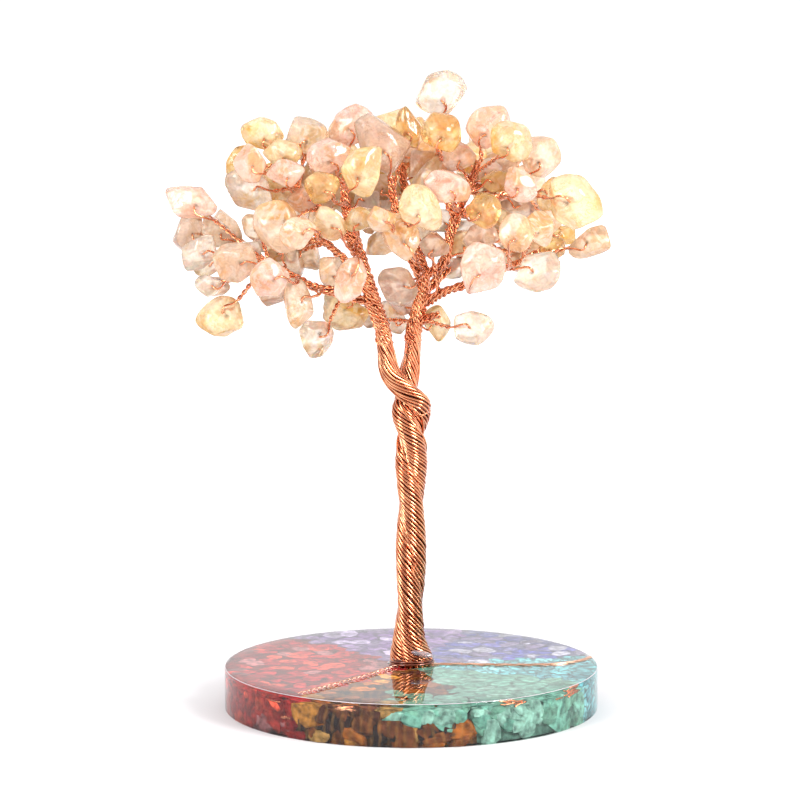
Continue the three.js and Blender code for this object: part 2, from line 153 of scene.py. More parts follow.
def unit(vectors):
    """Each vector divided by its own length."""
    return vectors / (np.linalg.norm(vectors, axis=-1, keepdims=True) + 1e-12)


def smooth_line(points, spacing):
    """A Catmull-Rom curve through the points, given back as points evenly spaced along it."""
    points = np.asarray(points, dtype=float)
    knots = np.vstack([2 * points[0] - points[1], points, 2 * points[-1] - points[-2]])
    t = np.linspace(0, 1, 16, endpoint=False)[:, None]
    spans = [0.5 * (2 * b + (c - a) * t + (2 * a - 5 * b + 4 * c - d) * t ** 2
                    + (3 * b - a - 3 * c + d) * t ** 3)
             for a, b, c, d in zip(knots, knots[1:], knots[2:], knots[3:])]
    line = np.vstack(spans + [points[-1:]])
    gone = np.concatenate([[0], np.cumsum(np.linalg.norm(np.diff(line, axis=0), axis=1))])
    even = np.linspace(0, gone[-1], max(6, int(gone[-1] / spacing)))
    return np.stack([np.interp(even, gone, line[:, axis]) for axis in range(3)], axis=1)


def carried(paths):
    """Two directions square to each path (path, step, xyz): at each step the one before it, made
    square to the path again, so that they are carried along without twisting."""
    tangent = unit(np.gradient(paths, axis=1))
    across = np.empty_like(paths)
    across[:, 0] = unit(np.cross(tangent[:, 0], [0.31, 0.22, 0.93]))
    for step in range(1, paths.shape[1]):
        along = np.sum(across[:, step - 1] * tangent[:, step], axis=1, keepdims=True)
        across[:, step] = unit(across[:, step - 1] - along * tangent[:, step])
    return across, np.cross(tangent, across)


def wires(paths, radius, sides=6):
    """Round wires along paths (wire, step, xyz): a ring of points at the wire's radius round each
    step, joined to the next ring, and both ends closed. The radius may change from step to step."""
    count, steps, _ = paths.shape
    across, beside = carried(paths)
    turn = np.linspace(0, 2 * np.pi, sides, endpoint=False)[:, None]
    spokes = across[:, :, None] * np.cos(turn) + beside[:, :, None] * np.sin(turn)
    points = paths[:, :, None] + spokes * radius
    index = np.arange(count * steps * sides).reshape(count, steps, sides)
    here, ahead = index[:, :-1], index[:, 1:]
    here_next, ahead_next = np.roll(here, -1, axis=2), np.roll(ahead, -1, axis=2)
    fan = np.arange(1, sides - 1)
    start, end = index[:, 0], index[:, -1]
    faces = [(here, here_next, ahead_next), (here, ahead_next, ahead),
             (start[:, [0] * len(fan)], start[:, fan + 1], start[:, fan]),
             (end[:, [0] * len(fan)], end[:, fan], end[:, fan + 1])]
    return points.reshape(-1, 3), np.concatenate([np.stack(face, axis=-1).reshape(-1, 3) for face in faces])


def strands(line, turns, out):
    """Paths that wind round one line: at each step turns (strand, step) gives the angle, in whole
    turns, and out the distance from the line."""
    across, beside = carried(line[None])
    angle = 2 * np.pi * turns[..., None]
    spokes = across * np.cos(angle) + beside * np.sin(angle)
    return line + spokes * np.broadcast_to(out, turns.shape)[..., None]


def join(parts):
    """Several (points, triangles) pairs as one pair."""
    offsets = np.cumsum([0] + [len(points) for points, _ in parts[:-1]])
    return (np.concatenate([points for points, _ in parts]),
            np.concatenate([triangles + offset for (_, triangles), offset in zip(parts, offsets)]))


def plain_finish(name, values):
    """A new material: its own Principled shader, with plain values for the sockets named."""
    finish = bpy.data.materials.new(name)
    finish.use_nodes = True
    for socket, value in values.items():
        finish.node_tree.nodes["Principled BSDF"].inputs[socket].default_value = value
    return finish


def add_node(tree, kind, values):
    """A new node in a material, group or world, with plain values for the sockets named."""
    made = tree.nodes.new(kind)
    for socket, value in values.items():
        made.inputs[socket].default_value = value
    return made


def noise(tree, scale, detail, distortion=0):
    """Soft noise from 0 to 1, fixed to the object."""
    where = tree.nodes.new("ShaderNodeTexCoord")
    made = add_node(tree, "ShaderNodeTexNoise", {"Scale": scale, "Detail": detail, "Distortion": distortion})
    tree.links.new(where.outputs["Object"], made.inputs["Vector"])
    return made.outputs["Fac"]


def stretch(tree, source, low, high, least=0, most=1, smooth=False):
    """The part of a value between low and high, drawn out to run from least to most."""
    values = {"From Min": low, "From Max": high, "To Min": least, "To Max": most}
    made = add_node(tree, "ShaderNodeMapRange", values)
    made.interpolation_type = "SMOOTHSTEP" if smooth else "LINEAR"
    tree.links.new(source, made.inputs["Value"])
    return made.outputs["Result"]


def add_bump(tree, height, strength, distance):
    """Raises the skin of a finish by a height, through a Bump node that feeds its Normal."""
    made = add_node(tree, "ShaderNodeBump", {"Strength": strength, "Distance": distance})
    tree.links.new(height, made.inputs["Height"])
    tree.links.new(made.outputs["Normal"], tree.nodes["Principled BSDF"].inputs["Normal"])


def copper_finish(name, dark, bright, smooth, rough):
    """Drawn copper: metal whose reddish base varies slowly along the wire, with fine scratches."""
    finish = plain_finish(name, {"Metallic": 1.0, "Coat Weight": 1.0, "Coat Roughness": 0.08})
    tree = finish.node_tree
    shader = tree.nodes["Principled BSDF"]
    patches = noise(tree, 420, 3)
    ramp = tree.nodes.new("ShaderNodeValToRGB")
    for stop, place, colour in zip(ramp.color_ramp.elements, (0.3, 0.72), (dark, bright)):
        stop.position = place
        stop.color = (*colour, 1)
    tree.links.new(patches, ramp.inputs["Fac"])
    tree.links.new(ramp.outputs["Color"], shader.inputs["Base Color"])
    tree.links.new(stretch(tree, patches, 0, 1, smooth, rough), shader.inputs["Roughness"])
    add_bump(tree, noise(tree, 2600, 2), 0.12, 0.04 * MM)
    return finish


copper = copper_finish("copper wire", (0.58, 0.16, 0.06), (0.94, 0.43, 0.21), 0.12, 0.22)
# A darkened copy of the copper: painted shade, for wires that lie in shadow deep in the bundles and at the
# foot.
shade_painted_copper = copper_finish("copper in shadow", (0.13, 0.03, 0.015), (0.30, 0.08, 0.04), 0.3, 0.5)


def from_fork(name):
    """A bough's points in metres, from places in millimetres above the fork."""
    return np.array(BOUGHS[name]) * MM + (0, 0, FORK)


def trunk_bundle(limb, front_at_fork):
    """One bundle: a helix round the trunk's axis up to the fork, then its limb. Returns the outer
    wires, the inner wires and the line that they wind round."""
    height = np.arange(-0.4 * MM, TRUNK_HEIGHT, 1.3 * MM)
    angle = math.radians(front_at_fork) + 2 * np.pi * np.interp(height / MM, *np.transpose(LAY))
    offset = np.interp(height / MM, *np.transpose(BUNDLE_OFFSET)) * MM
    helix = np.stack([offset * np.cos(angle), offset * np.sin(angle), base_top + height], axis=1)
    line = smooth_line(np.vstack([helix, from_fork(limb)]), 0.44 * MM)
    line = line[line[:, 2] < FORK + BUNDLE_TOP]
    step = np.linalg.norm(np.gradient(line, axis=0), axis=1)
    above = line[:, 2] - FORK
    turned = -np.cumsum(np.interp((above + TRUNK_HEIGHT) / MM, *np.transpose(WIRE_LAY[limb])) * step / MM)
    reach = np.interp(above / MM, *np.transpose(BUNDLE_REACH)) * MM
    run = np.cumsum(step)

    def wander(count, size):
        waves = np.sin(run / rng.uniform(2, 4, (count, 1)) / MM + rng.uniform(0, 6, (count, 1)))
        return size * waves * rng.uniform(0.3, 1, (count, 1))

    start = np.arange(OUTER_WIRES)[:, None] / OUTER_WIRES
    sink = np.clip((1.6 * MM - reach) / (0.5 * MM), 0, 1) * (np.arange(OUTER_WIRES)[:, None] % 2)
    outer = strands(line, start + turned + wander(OUTER_WIRES, 0.012),
                    reach - WIRE - SINK * sink + wander(OUTER_WIRES, 0.07 * MM))
    start = (np.arange(INNER_WIRES)[:, None] + 0.4) / INNER_WIRES
    inner = strands(line, start + 0.93 * turned + wander(INNER_WIRES, 0.02),
                    (reach - INNER_DEPTH + wander(INNER_WIRES, 0.08 * MM)).clip(0.2 * MM))
    strays = strands(line, np.array([[0.1], [0.62]]) + 0.45 * turned,
                     reach + 0.05 * MM - 0.7 * MM * (np.abs(above) > 14 * MM))
    up = line[:, 2] - base_top
    widening = np.exp(-(up / WIDE_HEIGHT) ** 2)
    flare = np.exp(-((up - FLARE_AT) / FLARE_HEIGHT) ** 2)
    for paths in (outer, inner, strays):
        paths[..., :2] *= ((1 + WIDE_SHARE * widening) * (1 + FLARE_SHARE * flare))[:, None]
        paths[..., 0] += WIDE_SHIFT * widening + FLARE_SHIFT * flare
    return np.concatenate([outer, strays]), inner, line


left = trunk_bundle("left_limb", -90)
right = trunk_bundle("right_limb", 90)
make_piece("trunk_wires", *join([wires(left[0], WIRE), wires(right[0], WIRE)]), copper, "copper_wire",
           replaces=["wire_tree"])
# The inner wires take the darkened copper: painted shade where they lie deep in the bundle.
make_piece("inner_wires", *join([wires(left[1], WIRE, 5), wires(right[1], WIRE, 5)]), shade_painted_copper,
           "copper_wire", replaces=["wire_tree"])


def heart(line):
    """The wires in the middle of a bundle, which only show as dark gaps: one bar round its line, in the
    darkened copper that paints the shade of those gaps.
    """
    above = (line[:, 2] - FORK) / MM
    reach = (np.interp(above, *np.transpose(BUNDLE_REACH)) - 1.05).clip(0.12) * MM
    return wires(line[None], reach[None, :, None, None], 8)


# The bar is a dark thing put where there is only shade between the outer wires: painted shade.
make_piece("heart_wires", *join([heart(left[2]), heart(right[2])]), shade_painted_copper, "copper_wire",
           replaces=["wire_tree"])


# Boughs. Each is a few twisted pairs of the same wire, laid loosely round one another. It starts
# inside its limb and thins towards its tip, where the pairs part to the chips.
PAIR_RADIUS = 0.27 * MM
PAIR_PITCH = 3 * MM
BOUGH_PITCH = 15 * MM
LIMB_PARTS = 11 * MM
BOUGH_STEP = 0.4 * MM
boughs = {name: smooth_line(from_fork(name), BOUGH_STEP) for name in BOUGHS}


def bough_wires(line, pairs, near, far):
    """The wires of one bough: pairs that wind round its line, closer in towards the tip."""
    run = np.linspace(0, 1, len(line)) * len(line) * BOUGH_STEP
    sway = 0.12 * MM * np.sin(run / (2.6 * MM) + rng.uniform(0, 6, (pairs, 1)))
    start = np.arange(pairs)[:, None] / pairs + rng.uniform(0, 0.12, (pairs, 1))
    middles = strands(line, start - run / BOUGH_PITCH, np.linspace(near, far, len(line)) * MM + sway)
    halves = np.array([[0], [0.5]])
    return np.concatenate([strands(middle, halves + rng.uniform() - run / PAIR_PITCH, PAIR_RADIUS)
                           for middle in middles])


bough_parts = []
for name, line in boughs.items():
    if name.endswith("limb"):
        upper = line[line[:, 2] > FORK + LIMB_PARTS]
        bough_parts += [bough_wires(upper, 9, 1.45, 0.95), bough_wires(upper, 5, 0.8, 0.4)]
    else:
        bough_parts.append(bough_wires(line, 4, 0.75, 0.34))
make_piece("bough_wires", *join([wires(part, WIRE, 5) for part in bough_parts]), copper, "copper_wire",
           replaces=["wire_tree"])


# Chips. Tumbled citrine and quartz, drilled through, each a soft many-sided pebble. The packed
# solid of a chip gives its broad faces; a few flats of its own and soft edges make it a real stone.
ROUNDING = 24
FLATS = 9
ROWS, COLUMNS = 34, 56
TONES = {
    "citrine_honey": ((0.97, 0.77, 0.60), (0.95, 0.56, 0.22)),
    "citrine_gold": ((0.98, 0.79, 0.53), (0.97, 0.58, 0.15)),
    "citrine_amber": ((0.96, 0.67, 0.31), (0.86, 0.45, 0.08)),
    "quartz_rose": ((0.97, 0.73, 0.62), (0.94, 0.56, 0.30)),
    "quartz_smoke": ((0.90, 0.69, 0.55), (0.78, 0.49, 0.28)),
    "quartz_clear": ((0.98, 0.86, 0.76), (0.95, 0.67, 0.36)),
}
# Small chips between the others: bough, tone, place across, in depth and above the fork, length,
# width and lean, all in millimetres and degrees.
SMALL_CHIPS = [
    ("left_low", "quartz_smoke", -47, 3, 34.5, 8, 6.5, 60),
    ("left_low", "quartz_clear", -33, -5, 36, 7, 4.5, -45),
    ("left_high", "citrine_amber", -35.5, 2, 50, 7, 6.3, 0),
    ("left_high", "citrine_gold", -29.5, 0, 46, 6.3, 5, 80),
    ("left_high", "quartz_rose", -22, -10, 42.5, 7, 5.4, 40),
    ("left_high", "citrine_gold", -27.5, -4, 43.5, 7, 4, 0),
    ("left_low", "quartz_smoke", -29, -6, 23, 7, 6, 20),
    ("crown_left", "citrine_gold", -14.5, 8, 56, 7.3, 6, 0),
    ("front", "quartz_smoke", -6.5, 4, 44, 6.5, 5.5, 0),
    ("crown_left", "quartz_clear", -9.5, 2, 41.5, 6, 4.5, 0),
    ("left_low", "citrine_honey", -17, 3, 25.5, 7.2, 5.2, 90),
    ("under", "quartz_smoke", -9, 8, 16, 6.5, 5, 0), ("under", "citrine_honey", -4, 9, 15.5, 8, 5, -60),
    ("under", "quartz_rose", -1.5, 8, 18.5, 5.5, 4.5, 0),
    ("crown_right", "quartz_clear", 7, 5, 37, 6.5, 5, 0),
    ("crown_right", "quartz_clear", 8.5, 6, 26.5, 6, 4.5, 0),
    ("crown_right", "citrine_gold", 11.5, -2, 32.5, 6.5, 5.5, 0),
    ("right_low", "quartz_smoke", 4.5, -8, 32.5, 6.7, 5.6, 0),
    ("right_low", "citrine_amber", 29.5, -3, 31.5, 6.8, 5, 30),
    ("top", "quartz_clear", 4, -6, 47, 9.7, 5.5, 35), ("top", "quartz_smoke", 2.5, 4, 49, 7, 5.5, 0),
    ("crown_right", "quartz_smoke", 16, 3, 47.5, 6.5, 5.5, 0),
    ("crown_right", "citrine_amber", 17.5, -1, 45.5, 6, 4.5, 0),
    ("right_high", "quartz_smoke", 23.5, 3, 40, 9, 5, 0),
    ("right_high", "citrine_amber", 32, 5, 33.5, 6, 4.5, 0),
    ("left_low", "quartz_clear", -43.5, 6, 27, 6, 4.5, 0),
    ("left_low", "quartz_smoke", -41.3, 5, 22.7, 5.5, 4.5, 0),
    ("left_low", "quartz_clear", -34.7, -4, 31, 7.5, 4, 0),
    ("left_low", "citrine_gold", -28.6, 2, 30.5, 6, 4.5, 0),
    ("left_high", "citrine_gold", -28.8, 5, 46.2, 8.5, 6.5, 20),
    ("left_high", "quartz_rose", -23.5, 6, 41.5, 8, 6, -30),
    ("crown_left", "citrine_honey", -17.2, 6, 48.9, 9, 6.5, 15),
    ("crown_left", "citrine_gold", -14, 5, 42.6, 8, 6, 60),
    ("left_high", "quartz_clear", -23.5, 7, 52.1, 8.5, 6, -10),
    ("front", "citrine_honey", -5.6, 6, 42.6, 8.5, 6.5, 40),
    ("top", "citrine_honey", 5.5, 7, 51, 8.5, 6, -20),
    ("crown_right", "citrine_gold", 12.4, 6, 50, 8.5, 6.5, 30),
    ("right_high", "quartz_rose", 18.7, 6, 48.9, 8, 6, -15),
    ("right_high", "citrine_honey", 25, 5, 45.7, 8.5, 6.5, 10),
    ("right_high", "citrine_honey", 28.2, 5, 36.2, 8, 6, 50),
    ("right_high", "citrine_gold", 18.7, 5, 38.3, 8, 6, -40),
    ("right_low", "quartz_clear", 12.4, 6, 34.1, 7.5, 6, 0),
    ("left_low", "citrine_honey", -39.4, 5, 34.7, 8, 6, -35),
    ("left_low", "quartz_clear", -29.9, 6, 33, 8, 6, 25),
    ("left_high", "citrine_honey", -19.7, 6, 38.3, 8, 6, 70),
    ("top", "quartz_rose", -2.4, 8, 52.1, 8, 6, 0),
]
ROSETTE_RADIUS = 5.8
ROSETTE_CHIPS = 5


def pebble_reach(directions, normals, distances):
    """Distance from the middle of a pebble to its surface in each direction: the soft minimum over
    its flat faces, which is one over the p-norm of the direction's share towards each face."""
    towards = np.clip(directions @ normals.T, 0, None) / distances
    return np.sum(towards ** ROUNDING, axis=-1) ** (-1 / ROUNDING)


def lathe(profile, sides):
    """A closed solid turned about Z: profile rows are (radius, height), from the axis to the axis."""
    profile = np.asarray(profile)
    turn = 2 * np.pi * np.arange(sides) / sides
    rings = np.stack([profile[1:-1, :1] * np.cos(turn), profile[1:-1, :1] * np.sin(turn),
                      np.broadcast_to(profile[1:-1, 1:], (len(profile) - 2, sides))], axis=-1)
    points = np.vstack([rings.reshape(-1, 3), [(0, 0, profile[0, 1]), (0, 0, profile[-1, 1])]])
    index = np.arange((len(profile) - 2) * sides).reshape(-1, sides)
    after = np.roll(index, -1, axis=1)
    foot, top = np.full(sides, len(points) - 2), np.full(sides, len(points) - 1)
    faces = [(index[:-1], after[:-1], after[1:]), (index[:-1], after[1:], index[1:]),
             (foot, after[0], index[0]), (top, index[-1], after[-1])]
    return points, np.concatenate([np.stack(face, axis=-1).reshape(-1, 3) for face in faces])


def ball(rows, columns):
    """Unit directions on a grid of latitude and longitude, and the triangles that join them: a half
    circle turned about Z. It runs from the top down, so its triangles are flipped."""
    tall = np.pi * np.arange(rows + 1) / rows
    directions, triangles = lathe(np.stack([np.sin(tall), np.cos(tall)], axis=1), columns)
    return directions, triangles[:, ::-1]


def packed_faces(node):
    """The outline of a packed chip from its middle: the direction of each of its triangles, and how
    far the solid reaches in that direction, so that its bore leaves no mark."""
    packed = frame["nodes"][node]
    count = len(packed.data.vertices)
    flat = np.empty(count * 3)
    packed.data.vertices.foreach_get("co", flat)
    turn = np.array(packed.matrix_world)
    points = flat.reshape(-1, 3) @ turn[:3, :3].T + turn[:3, 3]
    low, high = points.min(axis=0), points.max(axis=0)
    points = points - (low + high) / 2
    packed.data.calc_loop_triangles()
    index = np.empty(len(packed.data.loop_triangles) * 3, dtype=np.int32)
    packed.data.loop_triangles.foreach_get("vertices", index)
    a, b, c = points[index.reshape(-1, 3)].transpose(1, 0, 2)
    square = np.cross(b - a, c - a)
    keep = np.linalg.norm(square, axis=1) > 1e-9
    normals = unit(square[keep])
    return normals, (points @ normals.T).max(axis=0), (low + high) / 2, high - low


def add_flats(normals, distances, seed, depth=(0.7, 0.93)):
    """A pebble's faces with a few more, set in from its surface, where other stones wore it flat."""
    own = np.random.default_rng(seed)
    extra = unit(own.normal(size=(FLATS, 3)))
    reach = pebble_reach(extra, normals, distances)
    return np.vstack([normals, extra]), np.concatenate([distances, reach * own.uniform(*depth, FLATS)])


def leant(angle):
    """The matrix that leans a shape by an angle, as seen from the front."""
    return np.array([[math.cos(angle), 0, -math.sin(angle)],
                     [0, 1, 0],
                     [math.sin(angle), 0, math.cos(angle)]])


def turned_faces(seed, size, lean, facing=None):
    """The faces of a loose pebble: random ones on a unit ball, stretched to its size, leant as seen
    from the front and, on the back of the tree, turned to face outwards."""
    own = np.random.default_rng(seed)
    normals, distances = unit(own.normal(size=(16, 3))), own.uniform(0.78, 1, 16)
    normals, distances = np.vstack([normals, np.eye(3), -np.eye(3)]), np.append(distances, np.ones(6))
    yaw = own.uniform(-0.35, 0.35, 2)[0]
    turn = leant(math.radians(lean)) @ [[math.cos(yaw), -math.sin(yaw), 0],
                                        [math.sin(yaw), math.cos(yaw), 0], [0, 0, 1]]
    if facing is not None:
        sideways = unit(np.cross(facing, [0, 0, 1]))
        turn = np.stack([-sideways, -facing, np.cross(-facing, sideways)], axis=1) @ turn
    stretched = (normals / (np.array(size) / 2)) @ turn.T
    length = np.linalg.norm(stretched, axis=1)
    return stretched / length[:, None], distances / length


directions, ball_faces = ball(ROWS, COLUMNS)
coarse_directions, coarse_faces = ball(16, 26)
chips = []
slot_of = {part["node"]: part["material_slot"] for part in frame["record"]["subparts"]}
for seed, (node, slot_name) in enumerate(sorted(slot_of.items())):
    if node.startswith("chip_"):
        normals, distances, middle, size = packed_faces(node)
        normals, distances = add_flats(normals, distances, seed)
        skin = directions * pebble_reach(directions, normals, distances)[:, None]
        grow = size / (skin.max(axis=0) - skin.min(axis=0))
        squeezed = normals / grow
        length = np.linalg.norm(squeezed, axis=1)
        chips.append({"node": node, "bough": node[5:].rsplit("_", 1)[0], "slot": slot_name, "seed": seed,
                      "middle": middle, "front": np.array([0, -1.0, 0]), "fine": True, "size": size,
                      "faces": (squeezed / length[:, None], distances / length)})
for seed, (bough, slot_name, x, depth, up, long, wide, lean) in enumerate(SMALL_CHIPS, 200):
    chips.append({"node": None, "bough": bough, "slot": slot_name, "seed": seed, "fine": True,
                  "middle": np.array([x, depth, up]) * MM + (0, 0, FORK), "front": np.array([0, -1.0, 0]),
                  "faces": turned_faces(seed, np.array([long, 0.8 * wide, wide]) * MM, lean)})
for place, (node, slot_name) in enumerate(sorted(slot_of.items())):
    if node.startswith("chips_"):
        bough = node[6:]
        outward = unit(np.array(BOUGHS[bough][-1]) * (1, 1, 0))
        sideways, upward = np.cross([0, 0, 1], outward), np.array([0, 0, 1])
        low, high = (np.array(corner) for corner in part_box(node))
        for k in range(ROSETTE_CHIPS + 1):
            seed = 300 + place * 10 + k
            own = np.random.default_rng(seed)
            turn = 2 * math.pi * (k + own.uniform(-0.12, 0.12)) / ROSETTE_CHIPS
            out = 0 if k == ROSETTE_CHIPS else ROSETTE_RADIUS * MM
            middle = (low + high) / 2 + out * (math.cos(turn) * sideways + math.sin(turn) * upward)
            size = own.uniform((7.4, 5, 5.6), (9, 6, 7)) * MM
            lean = math.degrees(turn) + 90 + own.uniform(-30, 30)
            chips.append({"node": node, "bough": bough, "slot": slot_name, "seed": seed, "fine": False,
                          "middle": middle + outward * own.uniform(-1, 1) * MM, "front": outward,
                          "faces": turned_faces(seed, size, lean, outward)})


def blend(tree, share, first, second):
    """Two colours mixed by a share. The second is another node's output or a plain colour."""
    made = tree.nodes.new("ShaderNodeMix")
    made.data_type = "RGBA"
    tree.links.new(share, made.inputs["Factor"])
    tree.links.new(first, made.inputs["A"])
    if isinstance(second, tuple):
        made.inputs["B"].default_value = (*second, 1)
    else:
        tree.links.new(second, made.inputs["B"])
    return made.outputs["Result"]


def reckon(tree, operation, first, second):
    """Two values worked into one. The second is another node's output or a plain number."""
    made = tree.nodes.new("ShaderNodeMath")
    made.operation = operation
    tree.links.new(first, made.inputs[0])
    if isinstance(second, float):
        made.inputs[1].default_value = second
    else:
        tree.links.new(second, made.inputs[1])
    return made.outputs["Value"]


def shaded(tree, colour, share):
    """A colour made lighter or darker by a share."""
    made = tree.nodes.new("ShaderNodeVectorMath")
    made.operation = "SCALE"
    tree.links.new(colour, made.inputs[0])
    tree.links.new(share, made.inputs["Scale"])
    return made.outputs["Vector"]


def stone_group():
    """Node group for clouded quartz: the stone's own tint, whitened by clouds and stained in patches
    and along thin cracks, with the gloss and the height of its worn skin."""
    group = bpy.data.node_groups.new("clouded stone", "ShaderNodeTree")
    for socket, kind, value in (("Cloud", "NodeSocketColor", (1, 1, 1, 1)),
                                ("Stain", "NodeSocketColor", (1, 1, 1, 1)),
                                ("Cloud Amount", "NodeSocketFloat", 0.5),
                                ("Stain Amount", "NodeSocketFloat", 0.5)):
        made = group.interface.new_socket(name=socket, in_out="INPUT", socket_type=kind)
        made.default_value = value
    for socket, kind in (("Color", "NodeSocketColor"), ("Roughness", "NodeSocketFloat"),
                         ("Height", "NodeSocketFloat")):
        group.interface.new_socket(name=socket, in_out="OUTPUT", socket_type=kind)
    given, result = group.nodes.new("NodeGroupInput"), group.nodes.new("NodeGroupOutput")
    tint = group.nodes.new("ShaderNodeAttribute")
    tint.attribute_name = "tint"

    def patches(source, low, high, amount):
        made = stretch(group, source, low, high, smooth=True)
        group.links.new(given.outputs[amount], made.node.inputs["To Max"])
        return made

    clouds = patches(noise(group, 230, 4, 3.2), 0.47, 0.6, "Cloud Amount")
    clouded = blend(group, clouds, tint.outputs["Color"], given.outputs["Cloud"])
    spots = stretch(group, noise(group, 260, 5, 1.8), 0.5, 0.72, smooth=True)
    stains = reckon(group, "MULTIPLY", spots, patches(noise(group, 90, 1), 0.45, 0.62, "Stain Amount"))
    # A crack runs wherever this noise passes its middle value.
    ridge = reckon(group, "COMPARE", noise(group, 330, 3, 2.6), 0.5)
    ridge.node.inputs[2].default_value = 0.02
    cracks = reckon(group, "MULTIPLY", ridge, patches(noise(group, 150, 2), 0.46, 0.62, "Stain Amount"))
    stained = blend(group, reckon(group, "MAXIMUM", stains, cracks), clouded, given.outputs["Stain"])
    mottle = stretch(group, noise(group, 760, 5, 1.6), 0.3, 0.7, 0.74, 1.04)
    group.links.new(shaded(group, stained, mottle), result.inputs["Color"])
    gloss = stretch(group, noise(group, 330, 3, 0.6), 0, 1, 0.02, 0.2)
    group.links.new(gloss, result.inputs["Roughness"])
    group.links.new(noise(group, 480, 3, 0.4), result.inputs["Height"])
    return group


clouded_stone = stone_group()


def let_through(finish, share, tone=(1, 1, 1)):
    """Lets a share of a finish be a plain Transparent shader, so that lamps shine through it."""
    tree = finish.node_tree
    passing = add_node(tree, "ShaderNodeBsdfTransparent", {"Color": (*tone, 1)})
    mixed = tree.nodes.new("ShaderNodeMixShader")
    tree.links.new(share, mixed.inputs["Fac"])
    tree.links.new(tree.nodes["Principled BSDF"].outputs["BSDF"], mixed.inputs[1])
    tree.links.new(passing.outputs["BSDF"], mixed.inputs[2])
    tree.links.new(mixed.outputs["Shader"], tree.nodes["Material Output"].inputs["Surface"])


def quartz_finish(name, cloud, stain, edge, cloud_amount, stain_amount, clear):
    """Translucent polished quartz: part of its light goes straight through, the rest is scattered
    under the skin. Where the skin turns away from the view its colour is painted deeper, as painted shade
    for light that has gone through more stone."""
    finish = plain_finish(name, {"IOR": 1.54, "Transmission Weight": clear, "Subsurface Weight": 0.5,
                                 "Subsurface Radius": (1.0, 0.65, 0.4), "Subsurface Scale": 2.5 * MM})
    tree = finish.node_tree
    shader = tree.nodes["Principled BSDF"]
    body = tree.nodes.new("ShaderNodeGroup")
    body.node_tree = clouded_stone
    for socket, value in (("Cloud", (*cloud, 1)), ("Stain", (*stain, 1)),
                          ("Cloud Amount", cloud_amount), ("Stain Amount", stain_amount)):
        body.inputs[socket].default_value = value
    turned_away = add_node(tree, "ShaderNodeLayerWeight", {"Blend": 0.5})
    # Painted shade: the colour darkens towards the outline colour as the skin turns away from the view.
    deeper = stretch(tree, turned_away.outputs["Facing"], 0.55, 0.92, 0, 0.95, smooth=True)
    tree.links.new(blend(tree, deeper, body.outputs["Color"], edge), shader.inputs["Base Color"])
    tree.links.new(body.outputs["Roughness"], shader.inputs["Roughness"])
    add_bump(tree, body.outputs["Height"], 0.4, 0.4 * MM)
    rays = tree.nodes.new("ShaderNodeLightPath")
    let_through(finish, reckon(tree, "MULTIPLY", rays.outputs["Is Shadow Ray"], 0.6), cloud)
    return finish


# For each tone: the colours of its clouds, its stains and its outline, which is painted shade where the skin
# turns away, how much of it is cloud and stain, and how clear it is.
QUARTZ = {
    "citrine_honey": ((0.98, 0.90, 0.80), (0.86, 0.50, 0.18), (0.72, 0.40, 0.18), 0.6, 0.6, 0.62),
    "citrine_gold": ((0.99, 0.92, 0.76), (0.88, 0.52, 0.10), (0.76, 0.46, 0.14), 0.55, 0.6, 0.66),
    "citrine_amber": ((0.97, 0.84, 0.58), (0.76, 0.40, 0.06), (0.62, 0.32, 0.07), 0.45, 0.6, 0.78),
    "quartz_rose": ((0.98, 0.88, 0.80), (0.80, 0.38, 0.24), (0.70, 0.38, 0.24), 0.6, 0.65, 0.58),
    "quartz_smoke": ((0.92, 0.80, 0.70), (0.56, 0.30, 0.18), (0.48, 0.28, 0.16), 0.45, 0.6, 0.7),
    "quartz_clear": ((0.99, 0.95, 0.89), (0.90, 0.60, 0.24), (0.74, 0.50, 0.30), 0.6, 0.45, 0.74),
}
finishes = {tone: quartz_finish(tone.replace("_", " "), *values) for tone, values in QUARTZ.items()}

# Twigs. Each chip hangs on one wire, twisted with itself into a pair. Near the chip the pair parts:
# one end hooks over the front face into the drilled hole, goes through and comes back behind.
TWIG_LEAVES = 5 * MM
TWIG_GAP = 0.75 * MM
TWIG_WIRE = 0.25 * MM
TWIG_STEPS = 16
PAIR_STEPS = 44
HOOK_STEPS = 26
count = len(chips)
middles = np.array([chip["middle"] for chip in chips])
fronts = np.array([chip["front"] for chip in chips])
most = max(len(chip["faces"][0]) for chip in chips)
all_normals = np.zeros((count, most, 3))
all_distances = np.full((count, most), 1e6)
for row, chip in enumerate(chips):
    all_normals[row, :len(chip["faces"][0])] = chip["faces"][0]
    all_distances[row, :len(chip["faces"][0])] = chip["faces"][1]
roots, leads = np.empty((count, 3)), np.empty((count, 3))
for row, chip in enumerate(chips):
    line = boughs[chip["bough"]]
    nearest = np.argmin(np.linalg.norm(line - chip["middle"], axis=1))
    back = max(0, nearest - int(TWIG_LEAVES / BOUGH_STEP))
    roots[row] = line[back]
    leads[row] = unit(line[min(back + 4, len(line) - 1)] - line[back])


def skin_at(sideways):
    """A point on every chip's skin, in the direction given for each chip."""
    towards = np.einsum("nc,nmc->nm", unit(sideways), all_normals).clip(0) / all_distances
    return unit(sideways) * np.sum(towards ** ROUNDING, axis=1)[:, None] ** (-1 / ROUNDING)


def edge_on(points):
    """The points less their part along each chip's front direction."""
    return points - 0.85 * np.sum(points * fronts, axis=1, keepdims=True) * fronts


edges = unit(edge_on(roots - middles))
parting = middles + skin_at(edges) + edges * 1.3 * MM
span = np.linalg.norm(parting - roots, axis=1, keepdims=True)
t = np.linspace(0, 1, TWIG_STEPS)[:, None]
routes = ((1 - t) ** 3 * roots[:, None] + 3 * (1 - t) ** 2 * t * (roots + leads * 0.35 * span)[:, None]
          + 3 * (1 - t) * t ** 2 * (parting + edges * 0.35 * span)[:, None] + t ** 3 * parting[:, None])
